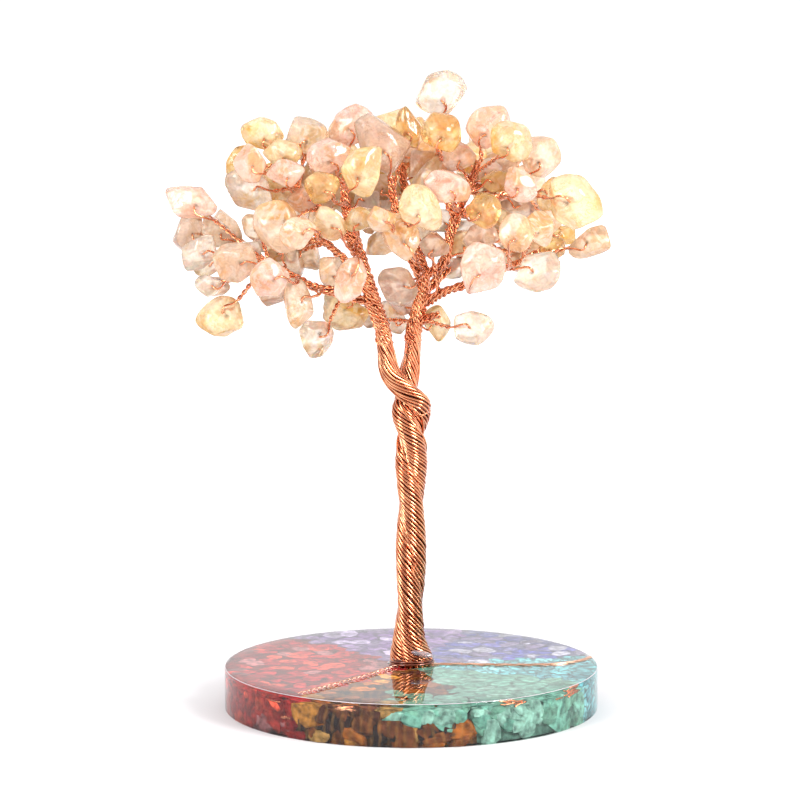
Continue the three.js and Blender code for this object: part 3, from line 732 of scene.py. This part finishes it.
# Routes are eased off every other chip, a little at each round, and smoothed between.
EASING_ROUNDS = 30
reaches = 2.2 * np.array([chip["faces"][1].min() for chip in chips])
others = ~np.eye(count, dtype=bool)
for easing in range(EASING_ROUNDS):
    inner_points = routes[:, 1:-1]
    inner_points += 0.3 * ((routes[:, :-2] + routes[:, 2:]) / 2 - inner_points)
    apart = np.linalg.norm(inner_points[:, :, None] - middles, axis=-1)
    twig, spot, chip_row = np.nonzero((apart < reaches + TWIG_GAP) & others[:, None])
    local = inner_points[twig, spot] - middles[chip_row]
    outside = np.einsum("kc,kmc->km", local, all_normals[chip_row]) - all_distances[chip_row]
    face = outside.argmax(axis=1)
    lack = TWIG_GAP - outside[np.arange(len(face)), face]
    push = lack.clip(0)[:, None] * all_normals[chip_row, face]
    np.add.at(inner_points, (twig, spot), 0.6 * push)

steps = np.linspace(0, TWIG_STEPS - 1, PAIR_STEPS)
low_step = np.minimum(steps.astype(int), TWIG_STEPS - 2)
fine_routes = routes[:, low_step]
fine_routes = fine_routes + (steps - low_step)[:, None] * (routes[:, low_step + 1] - fine_routes)
for smoothing in range(6):
    fine_routes[:, 1:-1] += 0.5 * ((fine_routes[:, :-2] + fine_routes[:, 2:]) / 2 - fine_routes[:, 1:-1])
run = np.cumsum(np.linalg.norm(np.gradient(fine_routes, axis=1), axis=2), axis=1)
across, beside = carried(fine_routes)
at_end = np.arctan2(np.sum(beside[:, -1] * fronts, axis=1), np.sum(across[:, -1] * fronts, axis=1))
angle = at_end[:, None] - 2 * np.pi * (run - run[:, -1:]) / PAIR_PITCH
round_pair = (across * np.cos(angle)[..., None] + beside * np.sin(angle)[..., None]) * PAIR_RADIUS


def over_skin(towards_edge, towards_front, lift):
    """A point beside every chip's skin, part way from its edge round to its front or its back."""
    sideways = edges * towards_edge + fronts * towards_front
    return middles + skin_at(sideways) + unit(sideways) * lift


bow_side = np.cross(edges, fronts) * np.where(rng.uniform(size=count) < 0.5, -1, 1)[:, None] * MM
hook = np.stack([
    fine_routes[:, -2] + round_pair[:, -2], fine_routes[:, -1] + round_pair[:, -1],
    over_skin(1, 0.35, 0.5 * MM) + 0.3 * bow_side, over_skin(0.85, 0.8, 0.62 * MM) + 0.9 * bow_side,
    over_skin(0.6, 1, 0.66 * MM) + bow_side, over_skin(0.44, 1, 0.36 * MM) + 0.4 * bow_side,
    over_skin(0.42, 1, -0.7 * MM), middles + edges * 0.2 * MM, over_skin(0.36, -1, -0.5 * MM),
    over_skin(0.5, -1, 0.30 * MM), over_skin(0.9, -0.8, 0.36 * MM), over_skin(1, -0.35, 0.45 * MM),
    fine_routes[:, -1] - round_pair[:, -1], fine_routes[:, -2] - round_pair[:, -2]], axis=1)
knots = hook.shape[1]
where = np.linspace(1, knots - 2, HOOK_STEPS)
first = np.minimum(where.astype(int), knots - 3)
u = (where - first)[:, None]
a, b, c, d = (hook[:, first + offset] for offset in (-1, 0, 1, 2))
loops = 0.5 * (2 * b + (c - a) * u + (2 * a - 5 * b + 4 * c - d) * u ** 2 + (3 * b - a - 3 * c + d) * u ** 3)
there, back = fine_routes + round_pair, (fine_routes - round_pair)[:, ::-1]
twig_paths = np.concatenate([there, loops[:, 1:-1], back], axis=1)
make_piece("twig_wires", *wires(twig_paths, TWIG_WIRE, 5), copper, "copper_wire", replaces=["wire_tree"])

# The stones' meshes: skin, shallow waves, dimples at the two ends of the drilled hole, and a tint
# that runs from the stone's pale body to a deeper zone on one side. Round the front end of the hole
# the tint is painted darker: painted shade in the bore.
WAVE_DEPTH = 0.035
DIMPLE_DEPTH, DIMPLE_WIDTH = 0.32 * MM, 0.006
HOLE_PAINTED_SHADE, HOLE_PAINTED_SHADE_WIDTH = 0.75, 0.012
holes = [unit(edges * 0.42 + fronts), unit(edges * 0.36 - fronts)]


def chip_mesh(row, chip):
    """Points, triangles and tints of one chip."""
    own = np.random.default_rng(chip["seed"] + 5000)
    rays, faces = (directions, ball_faces) if chip["fine"] else (coarse_directions, coarse_faces)
    reach = pebble_reach(rays, *chip["faces"])
    waves = np.sin(rays @ own.normal(0, 3.2, (3, 6)) + own.uniform(0, 6, 6)).mean(axis=1)
    reach = reach * (1 + WAVE_DEPTH * waves)
    for hole in holes:
        reach = reach - DIMPLE_DEPTH * np.exp((rays @ hole[row] - 1) / DIMPLE_WIDTH)
    pale, deep = (np.array(colour) for colour in TONES[chip["slot"]])
    zone = rays @ unit(own.normal(size=3)) + 0.35 * np.sin(rays @ own.normal(0, 4, 3) + own.uniform(0, 6))
    share = np.clip((zone - own.uniform(-0.3, 0.7)) / 0.3, 0, 1) * own.uniform(0.3, 1)
    normals, distances = chip["faces"]
    facet = np.argmax(np.clip(rays @ normals.T, 0, None) / distances, axis=1)
    through = np.sin(normals @ own.normal(0, 5, 3) + own.uniform(0, 6))[facet]
    share = np.clip(share + 0.3 * through, 0, 1)[:, None]
    tint = (pale * (1 - share) + deep * share) * (own.uniform(0.9, 1) - 0.07 * through)[:, None]
    # Painted shade: the tint darkens round the front end of the drilled hole, where the bore lies in shade.
    tint = tint * (1 - HOLE_PAINTED_SHADE * np.exp((rays @ holes[0][row] - 1) / HOLE_PAINTED_SHADE_WIDTH)[:, None])
    skin = rays * reach[:, None]
    if "size" in chip:
        low, high = skin.min(axis=0), skin.max(axis=0)
        skin = (skin - (low + high) / 2) * chip["size"] / (high - low)
    return chip["middle"] + skin, faces, tint.clip(0, 1)


def chip_piece(name, rows, replaces=()):
    """One piece from one or more chips of the same tone."""
    made = [chip_mesh(row, chips[row]) for row in rows]
    points, faces = join([(points, faces) for points, faces, _ in made])
    slot_name = chips[rows[0]]["slot"]
    make_piece(name, points, faces, finishes[slot_name], slot_name,
               np.concatenate([tint for _, _, tint in made]), replaces)


for row, chip in enumerate(chips):
    if chip["node"] and chip["fine"]:
        chip_piece(chip["node"].replace("chip_", "stone_"), [row], [chip["node"]])
for node in sorted({chip["node"] for chip in chips if chip["node"] and not chip["fine"]}):
    rows = [row for row, chip in enumerate(chips) if chip["node"] == node]
    chip_piece(node.replace("chips_", "stones_"), rows, [node])
for slot_name in TONES:
    rows = [row for row, chip in enumerate(chips) if not chip["node"] and chip["slot"] == slot_name]
    chip_piece("small_stones_" + slot_name, rows)


# Resin disc. Clear cast resin, 80 mm across, with softly rounded edges and a glossy face that is
# not quite flat.
rim_low, rim_high = (np.array(corner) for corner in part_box("resin_base"))
RIM = (rim_high[0] - rim_low[0]) / 2
EDGE = 0.4 * MM
bend = np.linspace(0, np.pi / 2, 6)
low_edge = np.stack([RIM - EDGE + EDGE * np.sin(bend), EDGE - EDGE * np.cos(bend)], axis=1)
high_edge = np.stack([RIM - EDGE + EDGE * np.cos(bend), base_top - EDGE + EDGE * np.sin(bend)], axis=1)
flat_rows = [(radius * RIM, base_top) for radius in (0.9, 0.7, 0.5, 0.3, 0.1)]
disc = lathe([(0, 0), (RIM * 0.5, 0), *low_edge, *high_edge, *flat_rows, (0, base_top)], 180)


def clear_finish(name, tone, waviness, bending, coat=0.0):
    """Clear resin or glue: plain full transmission, with a face that waves very slightly."""
    finish = plain_finish(name, {"Base Color": (*tone, 1), "Roughness": 0.01, "IOR": bending,
                                 "Transmission Weight": 1.0, "Coat Weight": coat})
    tree = finish.node_tree
    add_bump(tree, noise(tree, 55, 1), waviness, 0.2 * MM)
    rays = tree.nodes.new("ShaderNodeLightPath")
    let_through(finish, reckon(tree, "MAXIMUM", rays.outputs["Is Shadow Ray"],
                               rays.outputs["Is Diffuse Ray"]))
    return finish


clear_resin = clear_finish("clear resin", (0.97, 0.985, 0.98), 0.05, 1.46)
make_piece("resin_disc", *disc, clear_resin, "clear_resin", replaces=["resin_base"])

# Stones in the resin. Six sorts of crushed stone are laid in as sectors before the disc is poured:
# flat bits under its face, chunks behind its wall, and a packed bed within. Each sector has its start
# and stop in degrees, how much lighter the bits under the face are painted, as painted light from above, and
# the tints of its bits.
TIGER_EYE_STOP = 290
SECTORS = [
    ("carnelian", 128.8, 234.3, 2.5, [(0.20, 0.011, 0.010), (0.14, 0.006, 0.008), (0.24, 0.016, 0.012),
                                      (0.16, 0.008, 0.009), (0.22, 0.012, 0.011), (0.17, 0.007, 0.009),
                                      (0.30, 0.034, 0.016), (0.20, 0.07, 0.07)]),
    ("tiger_eye", 234.3, TIGER_EYE_STOP, 2.4, [
        (0.10, 0.028, 0.008), (0.15, 0.042, 0.009), (0.36, 0.15, 0.025), (0.010, 0.006, 0.006),
        (0.24, 0.070, 0.010), (0.06, 0.017, 0.008), (0.02, 0.008, 0.007), (0.12, 0.034, 0.009),
        (0.30, 0.17, 0.05)]),
    ("aventurine", TIGER_EYE_STOP, 335, 1.2, [(0.11, 0.28, 0.21), (0.13, 0.32, 0.24), (0.12, 0.28, 0.20),
                                              (0.18, 0.34, 0.27)]),
    ("turquoise", 335, 375, 1.7, [(0.10, 0.36, 0.38), (0.16, 0.44, 0.45), (0.07, 0.27, 0.30)]),
    ("sodalite", 15, 70, 1.7, [(0.045, 0.045, 0.19), (0.09, 0.08, 0.26), (0.12, 0.09, 0.17),
                               (0.30, 0.29, 0.36), (0.06, 0.06, 0.24)]),
    ("amethyst", 70, 128.8, 1.7, [(0.12, 0.06, 0.17), (0.18, 0.11, 0.23), (0.30, 0.24, 0.36),
                                  (0.09, 0.05, 0.14)]),
]
bit_directions, bit_faces = ball(6, 8)


def stone_bits(places, sizes, seed):
    """Angular bits of stone: a coarse ball whose reach is the minimum over a dozen random flats,
    stretched, turned at random and put in place. All bits are worked out at once."""
    own = np.random.default_rng(seed)
    total = len(places)
    normals = unit(own.normal(size=(total, 12, 3)))
    towards = np.einsum("vc,nmc->nvm", bit_directions, normals).clip(0)
    towards /= own.uniform(0.62, 1, (total, 1, 12))
    reach = np.sum(towards ** 18, axis=2) ** (-1 / 18)
    shape = bit_directions * np.minimum(reach, 1.15)[..., None] * (sizes / 2)[:, None]
    spin, tilt = own.uniform(0, 2 * np.pi, total), own.normal(0, 0.22, (total, 2))
    x = shape[..., 0] * np.cos(spin)[:, None] - shape[..., 1] * np.sin(spin)[:, None]
    y = shape[..., 0] * np.sin(spin)[:, None] + shape[..., 1] * np.cos(spin)[:, None]
    z = shape[..., 2] + x * tilt[:, :1] + y * tilt[:, 1:]
    return np.stack([x, y, z], axis=-1) + places[:, None]


def scatter(spacing, height, reach, own):
    """Places on a loose hexagonal net inside the disc, each nudged at random."""
    rows = np.arange(-reach, reach, spacing * 0.87)
    columns = np.arange(-reach, reach, spacing)
    x = columns[None] + np.where(np.arange(len(rows)) % 2, spacing / 2, 0)[:, None]
    y = np.broadcast_to(rows[:, None], x.shape)
    places = np.stack([x.ravel(), y.ravel(), np.full(x.size, height)], axis=1)
    places += own.uniform(-0.28, 0.28, places.shape) * (spacing, spacing, 1.6 * MM)
    return places[np.hypot(places[:, 0], places[:, 1]) < reach]


TOP_SPACING = 4.6 * MM
TOP_DEPTH = 2.3 * MM
TOP_MARGIN = 1.2 * MM
WALL_BITS = 260
WALL_DEPTH = 2.6 * MM
own = np.random.default_rng(77)
top_bits = scatter(TOP_SPACING, base_top - TOP_DEPTH, RIM - TOP_MARGIN, own)
wall_turn = own.uniform(0, 2 * np.pi, WALL_BITS)
wall_bits = np.stack([(RIM - WALL_DEPTH) * np.cos(wall_turn), (RIM - WALL_DEPTH) * np.sin(wall_turn),
                      own.uniform(0.8 * MM, base_top - 1.6 * MM, WALL_BITS)], axis=1)
bit_places = np.vstack([top_bits, wall_bits])
bit_sizes = np.vstack([own.uniform((4.6, 3.6, 1.8), (8, 6, 2.8), (len(top_bits), 3)),
                       own.uniform((5, 4.5, 3.6), (9, 6.5, 7), (WALL_BITS, 3))]) * MM
bit_points = stone_bits(bit_places, bit_sizes, 78)
# Nothing comes through the skin of the disc: what would is drawn back to inside it, under clear resin.
SKIN = 0.12 * MM
COVER = 1.35 * MM
out = np.hypot(bit_points[..., 0], bit_points[..., 1])
bit_reach = RIM - SKIN - own.uniform(0.1 * MM, 0.7 * MM, (len(bit_points), 1))
bit_points[..., :2] *= np.minimum(1, bit_reach / out)[..., None]
bit_top = base_top - COVER - own.uniform(0, 0.6 * MM, (len(bit_points), 1))
bit_points[..., 2] = bit_points[..., 2].clip(SKIN, bit_top)
bit_azimuth = np.degrees(np.arctan2(bit_places[:, 1], bit_places[:, 0])) + own.normal(0, 1, len(bit_places))
# The last part of the tiger eye lies low at the wall. The stones over it go to the aventurine.
LOW_FROM = 263
LOW_TOP = 4.9 * MM
LOW_INNER = 27 * MM
IN_AVENTURINE = 300
over_low = ((bit_azimuth % 360 > LOW_FROM) & (bit_azimuth % 360 < TIGER_EYE_STOP)
            & (np.hypot(bit_places[:, 0], bit_places[:, 1]) > LOW_INNER))
raised = over_low & (bit_places[:, 2] > 0.9 * LOW_TOP)
bit_azimuth[raised] = IN_AVENTURINE
lying = over_low & ~raised
low_top = LOW_TOP + own.uniform(0, 0.8 * MM, (lying.sum(), 1))
bit_points[lying, :, 2] = bit_points[lying, :, 2].clip(0, low_top)


def bit_finish(name, kind, scale, colour, low, high, amount):
    """Finish of one sort of bit: its tint, a pattern of the sort's second colour, and fine grain."""
    finish = plain_finish(name.replace("_", " "), {"Roughness": 0.4, "Specular IOR Level": 0.0})
    tree = finish.node_tree
    tint = tree.nodes.new("ShaderNodeAttribute")
    tint.attribute_name = "tint"
    where = tree.nodes.new("ShaderNodeTexCoord")
    texture = add_node(tree, kind, {"Scale": scale})
    tree.links.new(where.outputs["Object"], texture.inputs["Vector"])
    if kind == "ShaderNodeTexWave":
        texture.inputs["Distortion"].default_value = 5
        texture.inputs["Detail"].default_value = 2
    if kind == "ShaderNodeTexVoronoi":
        texture.feature = "DISTANCE_TO_EDGE"
    value = texture.outputs["Distance" if kind == "ShaderNodeTexVoronoi" else "Fac"]
    second = stretch(tree, value, low, high, 0, amount)
    grain = stretch(tree, noise(tree, 700, 5), 0.32, 0.68, 0.35, 1.3)
    grained = shaded(tree, blend(tree, second, tint.outputs["Color"], colour), grain)
    tree.links.new(grained, tree.nodes["Principled BSDF"].inputs["Base Color"])
    return finish


# For each sort: its pattern, the pattern's scale and second colour, and the stretch of the pattern
# over which that colour comes in, up to a share.
PATTERNS = {
    "carnelian": ("ShaderNodeTexNoise", 320, (0.36, 0.045, 0.022), 0.5, 0.75, 0.45),
    "tiger_eye": ("ShaderNodeTexWave", 170, (0.28, 0.13, 0.03), 0.5, 1.0, 0.3),
    "aventurine": ("ShaderNodeTexNoise", 420, (0.22, 0.42, 0.33), 0.5, 0.75, 0.35),
    "turquoise": ("ShaderNodeTexVoronoi", 420, (0.03, 0.04, 0.035), 0.09, 0.02, 0.8),
    "sodalite": ("ShaderNodeTexNoise", 300, (0.40, 0.38, 0.46), 0.52, 0.7, 0.6),
    "amethyst": ("ShaderNodeTexNoise", 300, (0.42, 0.34, 0.46), 0.5, 0.72, 0.5),
}


BED_INSET = 1.9 * MM
BED_LOW = 0.3 * MM
BED_DEPTH = 2.2 * MM
BED_STEPS = 25


def wedge(start, stop):
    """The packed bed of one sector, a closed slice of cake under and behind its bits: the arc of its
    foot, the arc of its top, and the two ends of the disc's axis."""
    n = BED_STEPS
    turn = np.radians(np.linspace(start, stop, n))
    arc = (RIM - BED_INSET) * np.stack([np.cos(turn), np.sin(turn)], axis=1)
    high = base_top - BED_DEPTH
    lies_low = (np.degrees(turn) > LOW_FROM) & (stop == TIGER_EYE_STOP)
    level = np.where(lies_low, LOW_TOP - 0.4 * MM, high)
    points = np.vstack([np.column_stack([arc, np.full(n, BED_LOW)]), np.column_stack([arc, level]),
                        [(0, 0, BED_LOW), (0, 0, high)]])
    here, after = np.arange(n - 1), np.arange(1, n)
    foot, top = np.full(n - 1, 2 * n), np.full(n - 1, 2 * n + 1)
    faces = [(here, after, after + n), (here, after + n, here + n),
             (foot, after, here), (top, here + n, after + n),
             ([2 * n, 2 * n, 2 * n + 1, 2 * n + 1], [0, n, 2 * n - 1, n - 1], [n, 2 * n + 1, n - 1, 2 * n])]
    return points, np.concatenate([np.stack(face, axis=-1).reshape(-1, 3) for face in faces])


# Painted shade and light on a bed: it is darker at the wall and foot, where shade falls, and lighter in the
# middle of its top.
BED_PAINTED_SHADE = np.repeat([0.35, 0.6, 0.35, 1.6], [BED_STEPS, BED_STEPS, 1, 1])[:, None]
for name, start, stop, lighter, tints in SECTORS:
    inside = (bit_azimuth - start) % 360 < stop - start
    chosen = bit_points[inside]
    picks = np.array(tints)[own.integers(0, len(tints), len(chosen))]
    # Painted light: the bits under the face are made lighter than the same stones behind the wall.
    picks[np.flatnonzero(inside) < len(top_bits)] *= lighter
    offsets = np.arange(len(chosen)) * len(bit_directions)
    faces = (bit_faces[None] + offsets[:, None, None]).reshape(-1, 3)
    tint = np.repeat(picks, len(bit_directions), axis=0)
    tint *= own.uniform(0.7, 1.25, (len(tint), 1))
    tint = np.vstack([tint, BED_PAINTED_SHADE * np.mean(tints, axis=0)])
    points, faces = join([(chosen.reshape(-1, 3), faces), wedge(start, stop)])
    make_piece(name + "_bits", points, faces, bit_finish(name, *PATTERNS[name]), name, tint, smooth=False)

# Copper in the resin. A braid from the foot to the front left of the rim and a cord to the right of
# the rim lie half sunk in its face. Snippets of wire are sealed in behind the wall: each tangle has
# its azimuth in degrees, its height and size in millimetres, and its number of wires.
BRAID = [(-3.2, -3.6), (-8, -11), (-14, -19.3), (-19.5, -26.6), (-22.9, -31.2)]
BRAID_TURNS, BRAID_OUT, BRAID_WIRE = 10, 0.5 * MM, 0.1 * MM
CORD = [(3.6, -1.4), (10, -0.9), (17, -1.6), (24, -1.8), (31, -0.9), (36, 2.4), (38.9, 6.6)]
CORD_STRANDS, CORD_TURNS, CORD_OUT, CORD_WIRE = 5, 2.2, 0.26 * MM, 0.19 * MM
SNIPPETS = [(-135, 7.1, 3.2, 1), (-130.5, 4.2, 1.5, 7), (-109.5, 7.7, 2.4, 14), (-59.5, 8.1, 3.6, 9),
            (-32, 8.0, 4.4, 12), (-40, 7.3, 1.6, 3)]
SNIPPET_WIRE = 0.19 * MM


def on_face(places, height):
    """A smooth line through places on the disc, in millimetres, at a height over its face."""
    return smooth_line([(x * MM, y * MM, base_top + height * MM) for x, y in places], 0.3 * MM)


def snippet(azimuth, height, size, count):
    """A tangle of short bent wires behind the wall: flat arcs that lean at random in a patch of it."""
    bent = np.linspace(-1, 1, 12)[None]
    lean, curl = own.uniform(-0.7, 0.7, (count, 1)), own.uniform(-0.4, 0.4, (count, 1))
    across, over = own.normal(0, 0.35, (2, count, 1)) * size * (count > 1)
    aside = (bent * np.cos(lean) - curl * bent ** 2 * np.sin(lean)) * size / 2 + across
    up = (bent * np.sin(lean) + curl * bent ** 2 * np.cos(lean)) * size / 5 + over / 4
    turn = math.radians(azimuth) + aside * MM / RIM
    out = RIM - own.uniform(0.32, 0.62, (count, 1)) * MM
    level = ((height + up) * MM).clip(0.6 * MM, base_top - 0.5 * MM)
    return np.stack([out * np.cos(turn), out * np.sin(turn), level], axis=-1)


braid_line, cord_line = on_face(BRAID, 0.04), on_face(CORD, -0.02)
braid_turns = np.linspace(0, BRAID_TURNS, len(braid_line)) + [[0], [0.5]]
cord_turns = np.linspace(0, CORD_TURNS, len(cord_line)) + np.arange(CORD_STRANDS)[:, None] / CORD_STRANDS
laid = join([wires(strands(braid_line, braid_turns, BRAID_OUT), BRAID_WIRE, 6),
             wires(strands(cord_line, cord_turns, CORD_OUT), CORD_WIRE, 6)])
pale_copper = copper_finish("laid copper", (0.66, 0.31, 0.19), (0.96, 0.60, 0.44), 0.25, 0.4)
make_piece("laid_copper", *laid, pale_copper, "copper_wire")
sealed = join([wires(snippet(*place), SNIPPET_WIRE, 5) for place in SNIPPETS])
make_piece("sealed_copper", *sealed, copper, "copper_wire")

# Edge highlight. The pale line along the disc's upper edge is a painted highlight: a thin pale ring in its
# rim.
EDGE_HIGHLIGHT_INSET = 0.17 * MM
EDGE_HIGHLIGHT_RADIUS = 0.08 * MM
ring_turn = np.linspace(0, 2 * np.pi, 241)
edge_line = np.stack([(RIM - EDGE_HIGHLIGHT_INSET) * np.cos(ring_turn), (RIM - EDGE_HIGHLIGHT_INSET) * np.sin(ring_turn),
                      np.full(241, base_top - EDGE_HIGHLIGHT_INSET)], axis=1)
# The ring's pale colour is a painted highlight along the edge.
worn = plain_finish("resin edge highlight", {"Base Color": (0.55, 0.50, 0.53, 1), "Roughness": 0.5})
make_piece("edge_highlight_ring", *wires(edge_line[None], EDGE_HIGHLIGHT_RADIUS, 6), worn, "clear_resin")

# Glue. A low collar of clear glue round the foot, uneven at its rim, tinted warm as a painted reflection of
# the copper in it, and a drop of clear glue that leans against the wires at the front right, tinted pale
# lilac and milky as a painted highlight.
glue_low, glue_high = (np.array(corner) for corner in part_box("glue_collar"))
GLUE = (glue_high[0] - glue_low[0]) / 2
GLUE_GAP = 0.02 * MM
DROP_SIZE = (2.4 * MM, 0.9 * MM, 0.7 * MM)
DROP_PLACE = (2.3 * MM, -4.1 * MM, base_top + 2.9 * MM)
DROP_LEAN = math.radians(-12)
glue_rise = glue_high[2] - base_top
bow = np.linspace(0, 1, 8)
slope = np.stack([GLUE * (1 - 0.34 * bow ** 0.7),
                  base_top + 2 * GLUE_GAP + (glue_rise - 2 * GLUE_GAP) * bow ** 2.2], axis=1)
collar = lathe([(0, base_top + GLUE_GAP), (GLUE, base_top + GLUE_GAP), *slope,
                (GLUE * 0.5, base_top + glue_rise * 0.9), (0, base_top + glue_rise * 0.9)], 64)
turn = np.arctan2(collar[0][:, 1], collar[0][:, 0])
collar[0][:, :2] *= (0.93 + 0.05 * np.sin(3 * turn + 1) + 0.02 * np.sin(7 * turn))[:, None]
# The glue's warm tint is a painted reflection of the copper wires inside it.
glue = clear_finish("clear glue", (0.97, 0.84, 0.70), 0.04, 1.1, coat=0.8)
make_piece("glue_ring", *collar, glue, "clear_glue", replaces=["glue_collar"])
drop_points, drop_faces = ball(16, 24)
drop_points = drop_points * DROP_SIZE @ leant(DROP_LEAN).T + DROP_PLACE
# The drop's pale lilac, milky colour is partly a painted highlight on clear glue.
milky = plain_finish("glue drop, painted highlight", {"Base Color": (0.62, 0.52, 0.58, 1), "Roughness": 0.15,
                                    "Transmission Weight": 0.7, "Coat Weight": 1.0})
make_piece("glue_drop", drop_points, drop_faces, milky, "clear_glue")

# Foot winding. The ends of the wires, wound flat round the foot and set in the glue, in the darkened copper:
# painted shade at the foot.
FOOT_TURNS = 1.1
FOOT_OUT, FOOT_TAPER = 4.7 * MM, 0.5 * MM
FOOT_LOW, FOOT_RISE = 0.3 * MM, 1.1 * MM
FOOT_SHIFT = 0.15 * MM
winding = np.linspace(0, 1, 160)[None]
foot_turn = 2 * np.pi * FOOT_TURNS * winding + [[0.4], [3.5]]
foot_out = FOOT_OUT - FOOT_TAPER * winding + 0.15 * MM * np.sin(2.3 * foot_turn)
foot_height = base_top + FOOT_LOW + FOOT_RISE * winding + 0.1 * MM * np.sin(1.7 * foot_turn)
foot_coil = np.stack([foot_out * np.cos(foot_turn) + FOOT_SHIFT, foot_out * np.sin(foot_turn), foot_height],
                     axis=-1)
make_piece("foot_winding", *wires(foot_coil, WIRE, 6), shade_painted_copper, "copper_wire", replaces=["wire_tree"])

# Floor and light. A white sheet that the tree stands on, in a light tent that is bright overhead and
# behind and dark low down at the camera's side, so that the copper has something to reflect.
# The sheet reaches this far to each side, in metres, and lies just under the disc.
SHEET = 3
SHEET_DROP = 0.1 * MM
floor_mesh = bpy.data.meshes.new("floor")
corners = [(-SHEET, -SHEET), (SHEET, -SHEET), (SHEET, SHEET), (-SHEET, SHEET)]
floor_mesh.from_pydata([(x, y, -SHEET_DROP) for x, y in corners], [], [(0, 1, 2, 3)])
floor = bpy.data.objects.new("floor", floor_mesh)
bpy.context.scene.collection.objects.link(floor)
paper = plain_finish("white sheet", {"Base Color": (0.73, 0.72, 0.735, 1), "Roughness": 0.9,
                                     "Emission Color": (1, 1, 1, 1)})
sheet = paper.node_tree
place = sheet.nodes.new("ShaderNodeTexCoord")
away = sheet.nodes.new("ShaderNodeVectorMath")
away.operation = "LENGTH"
sheet.links.new(place.outputs["Object"], away.inputs[0])
lit = stretch(sheet, away.outputs["Value"], 0.06, 0.5, 0, 0.62, smooth=True)
sheet.links.new(lit, sheet.nodes["Principled BSDF"].inputs["Emission Strength"])
floor_mesh.materials.append(paper)
floor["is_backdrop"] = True

world = bpy.data.worlds.new("light tent")
bpy.context.scene.world = world
world.use_nodes = True
sky = world.node_tree
tent = sky.nodes["Background"]
tent.inputs["Color"].default_value = (1, 1, 1, 1)
direction = sky.nodes.new("ShaderNodeTexCoord")
split = sky.nodes.new("ShaderNodeSeparateXYZ")
sky.links.new(direction.outputs["Generated"], split.inputs["Vector"])
overhead = stretch(sky, split.outputs["Z"], 0.25, 0.8, 0.12, 1.1, smooth=True)
behind = stretch(sky, split.outputs["Y"], -0.55, 0.1, 0, 1.12, smooth=True)
sky.links.new(reckon(sky, "MAXIMUM", overhead, behind), tent.inputs["Strength"])
backdrop = add_node(sky, "ShaderNodeBackground", {"Color": (1, 1, 1, 1), "Strength": 1.1})
seen = sky.nodes.new("ShaderNodeLightPath")
choice = sky.nodes.new("ShaderNodeMixShader")
sky.links.new(seen.outputs["Is Camera Ray"], choice.inputs["Fac"])
sky.links.new(tent.outputs["Background"], choice.inputs[1])
sky.links.new(backdrop.outputs["Background"], choice.inputs[2])
sky.links.new(choice.outputs["Shader"], sky.nodes["World Output"].inputs["Surface"])


def lamp(name, place, size, power):
    """A square soft light that looks at the middle of the tree."""
    light = bpy.data.lights.new(name, "AREA")
    light.size = size
    light.energy = power
    holder = bpy.data.objects.new(name, light)
    holder.location = place
    holder.rotation_euler = (Vector((0, 0, 0.07)) - Vector(place)).to_track_quat("-Z", "Y").to_euler()
    bpy.context.scene.collection.objects.link(holder)


lamp("fill", (-0.6, -0.55, 0.5), 0.4, 6)
lamp("key", (0.65, -0.5, 0.42), 0.35, 9.5)
bpy.context.scene.view_settings.view_transform = "Standard"

low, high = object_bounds()
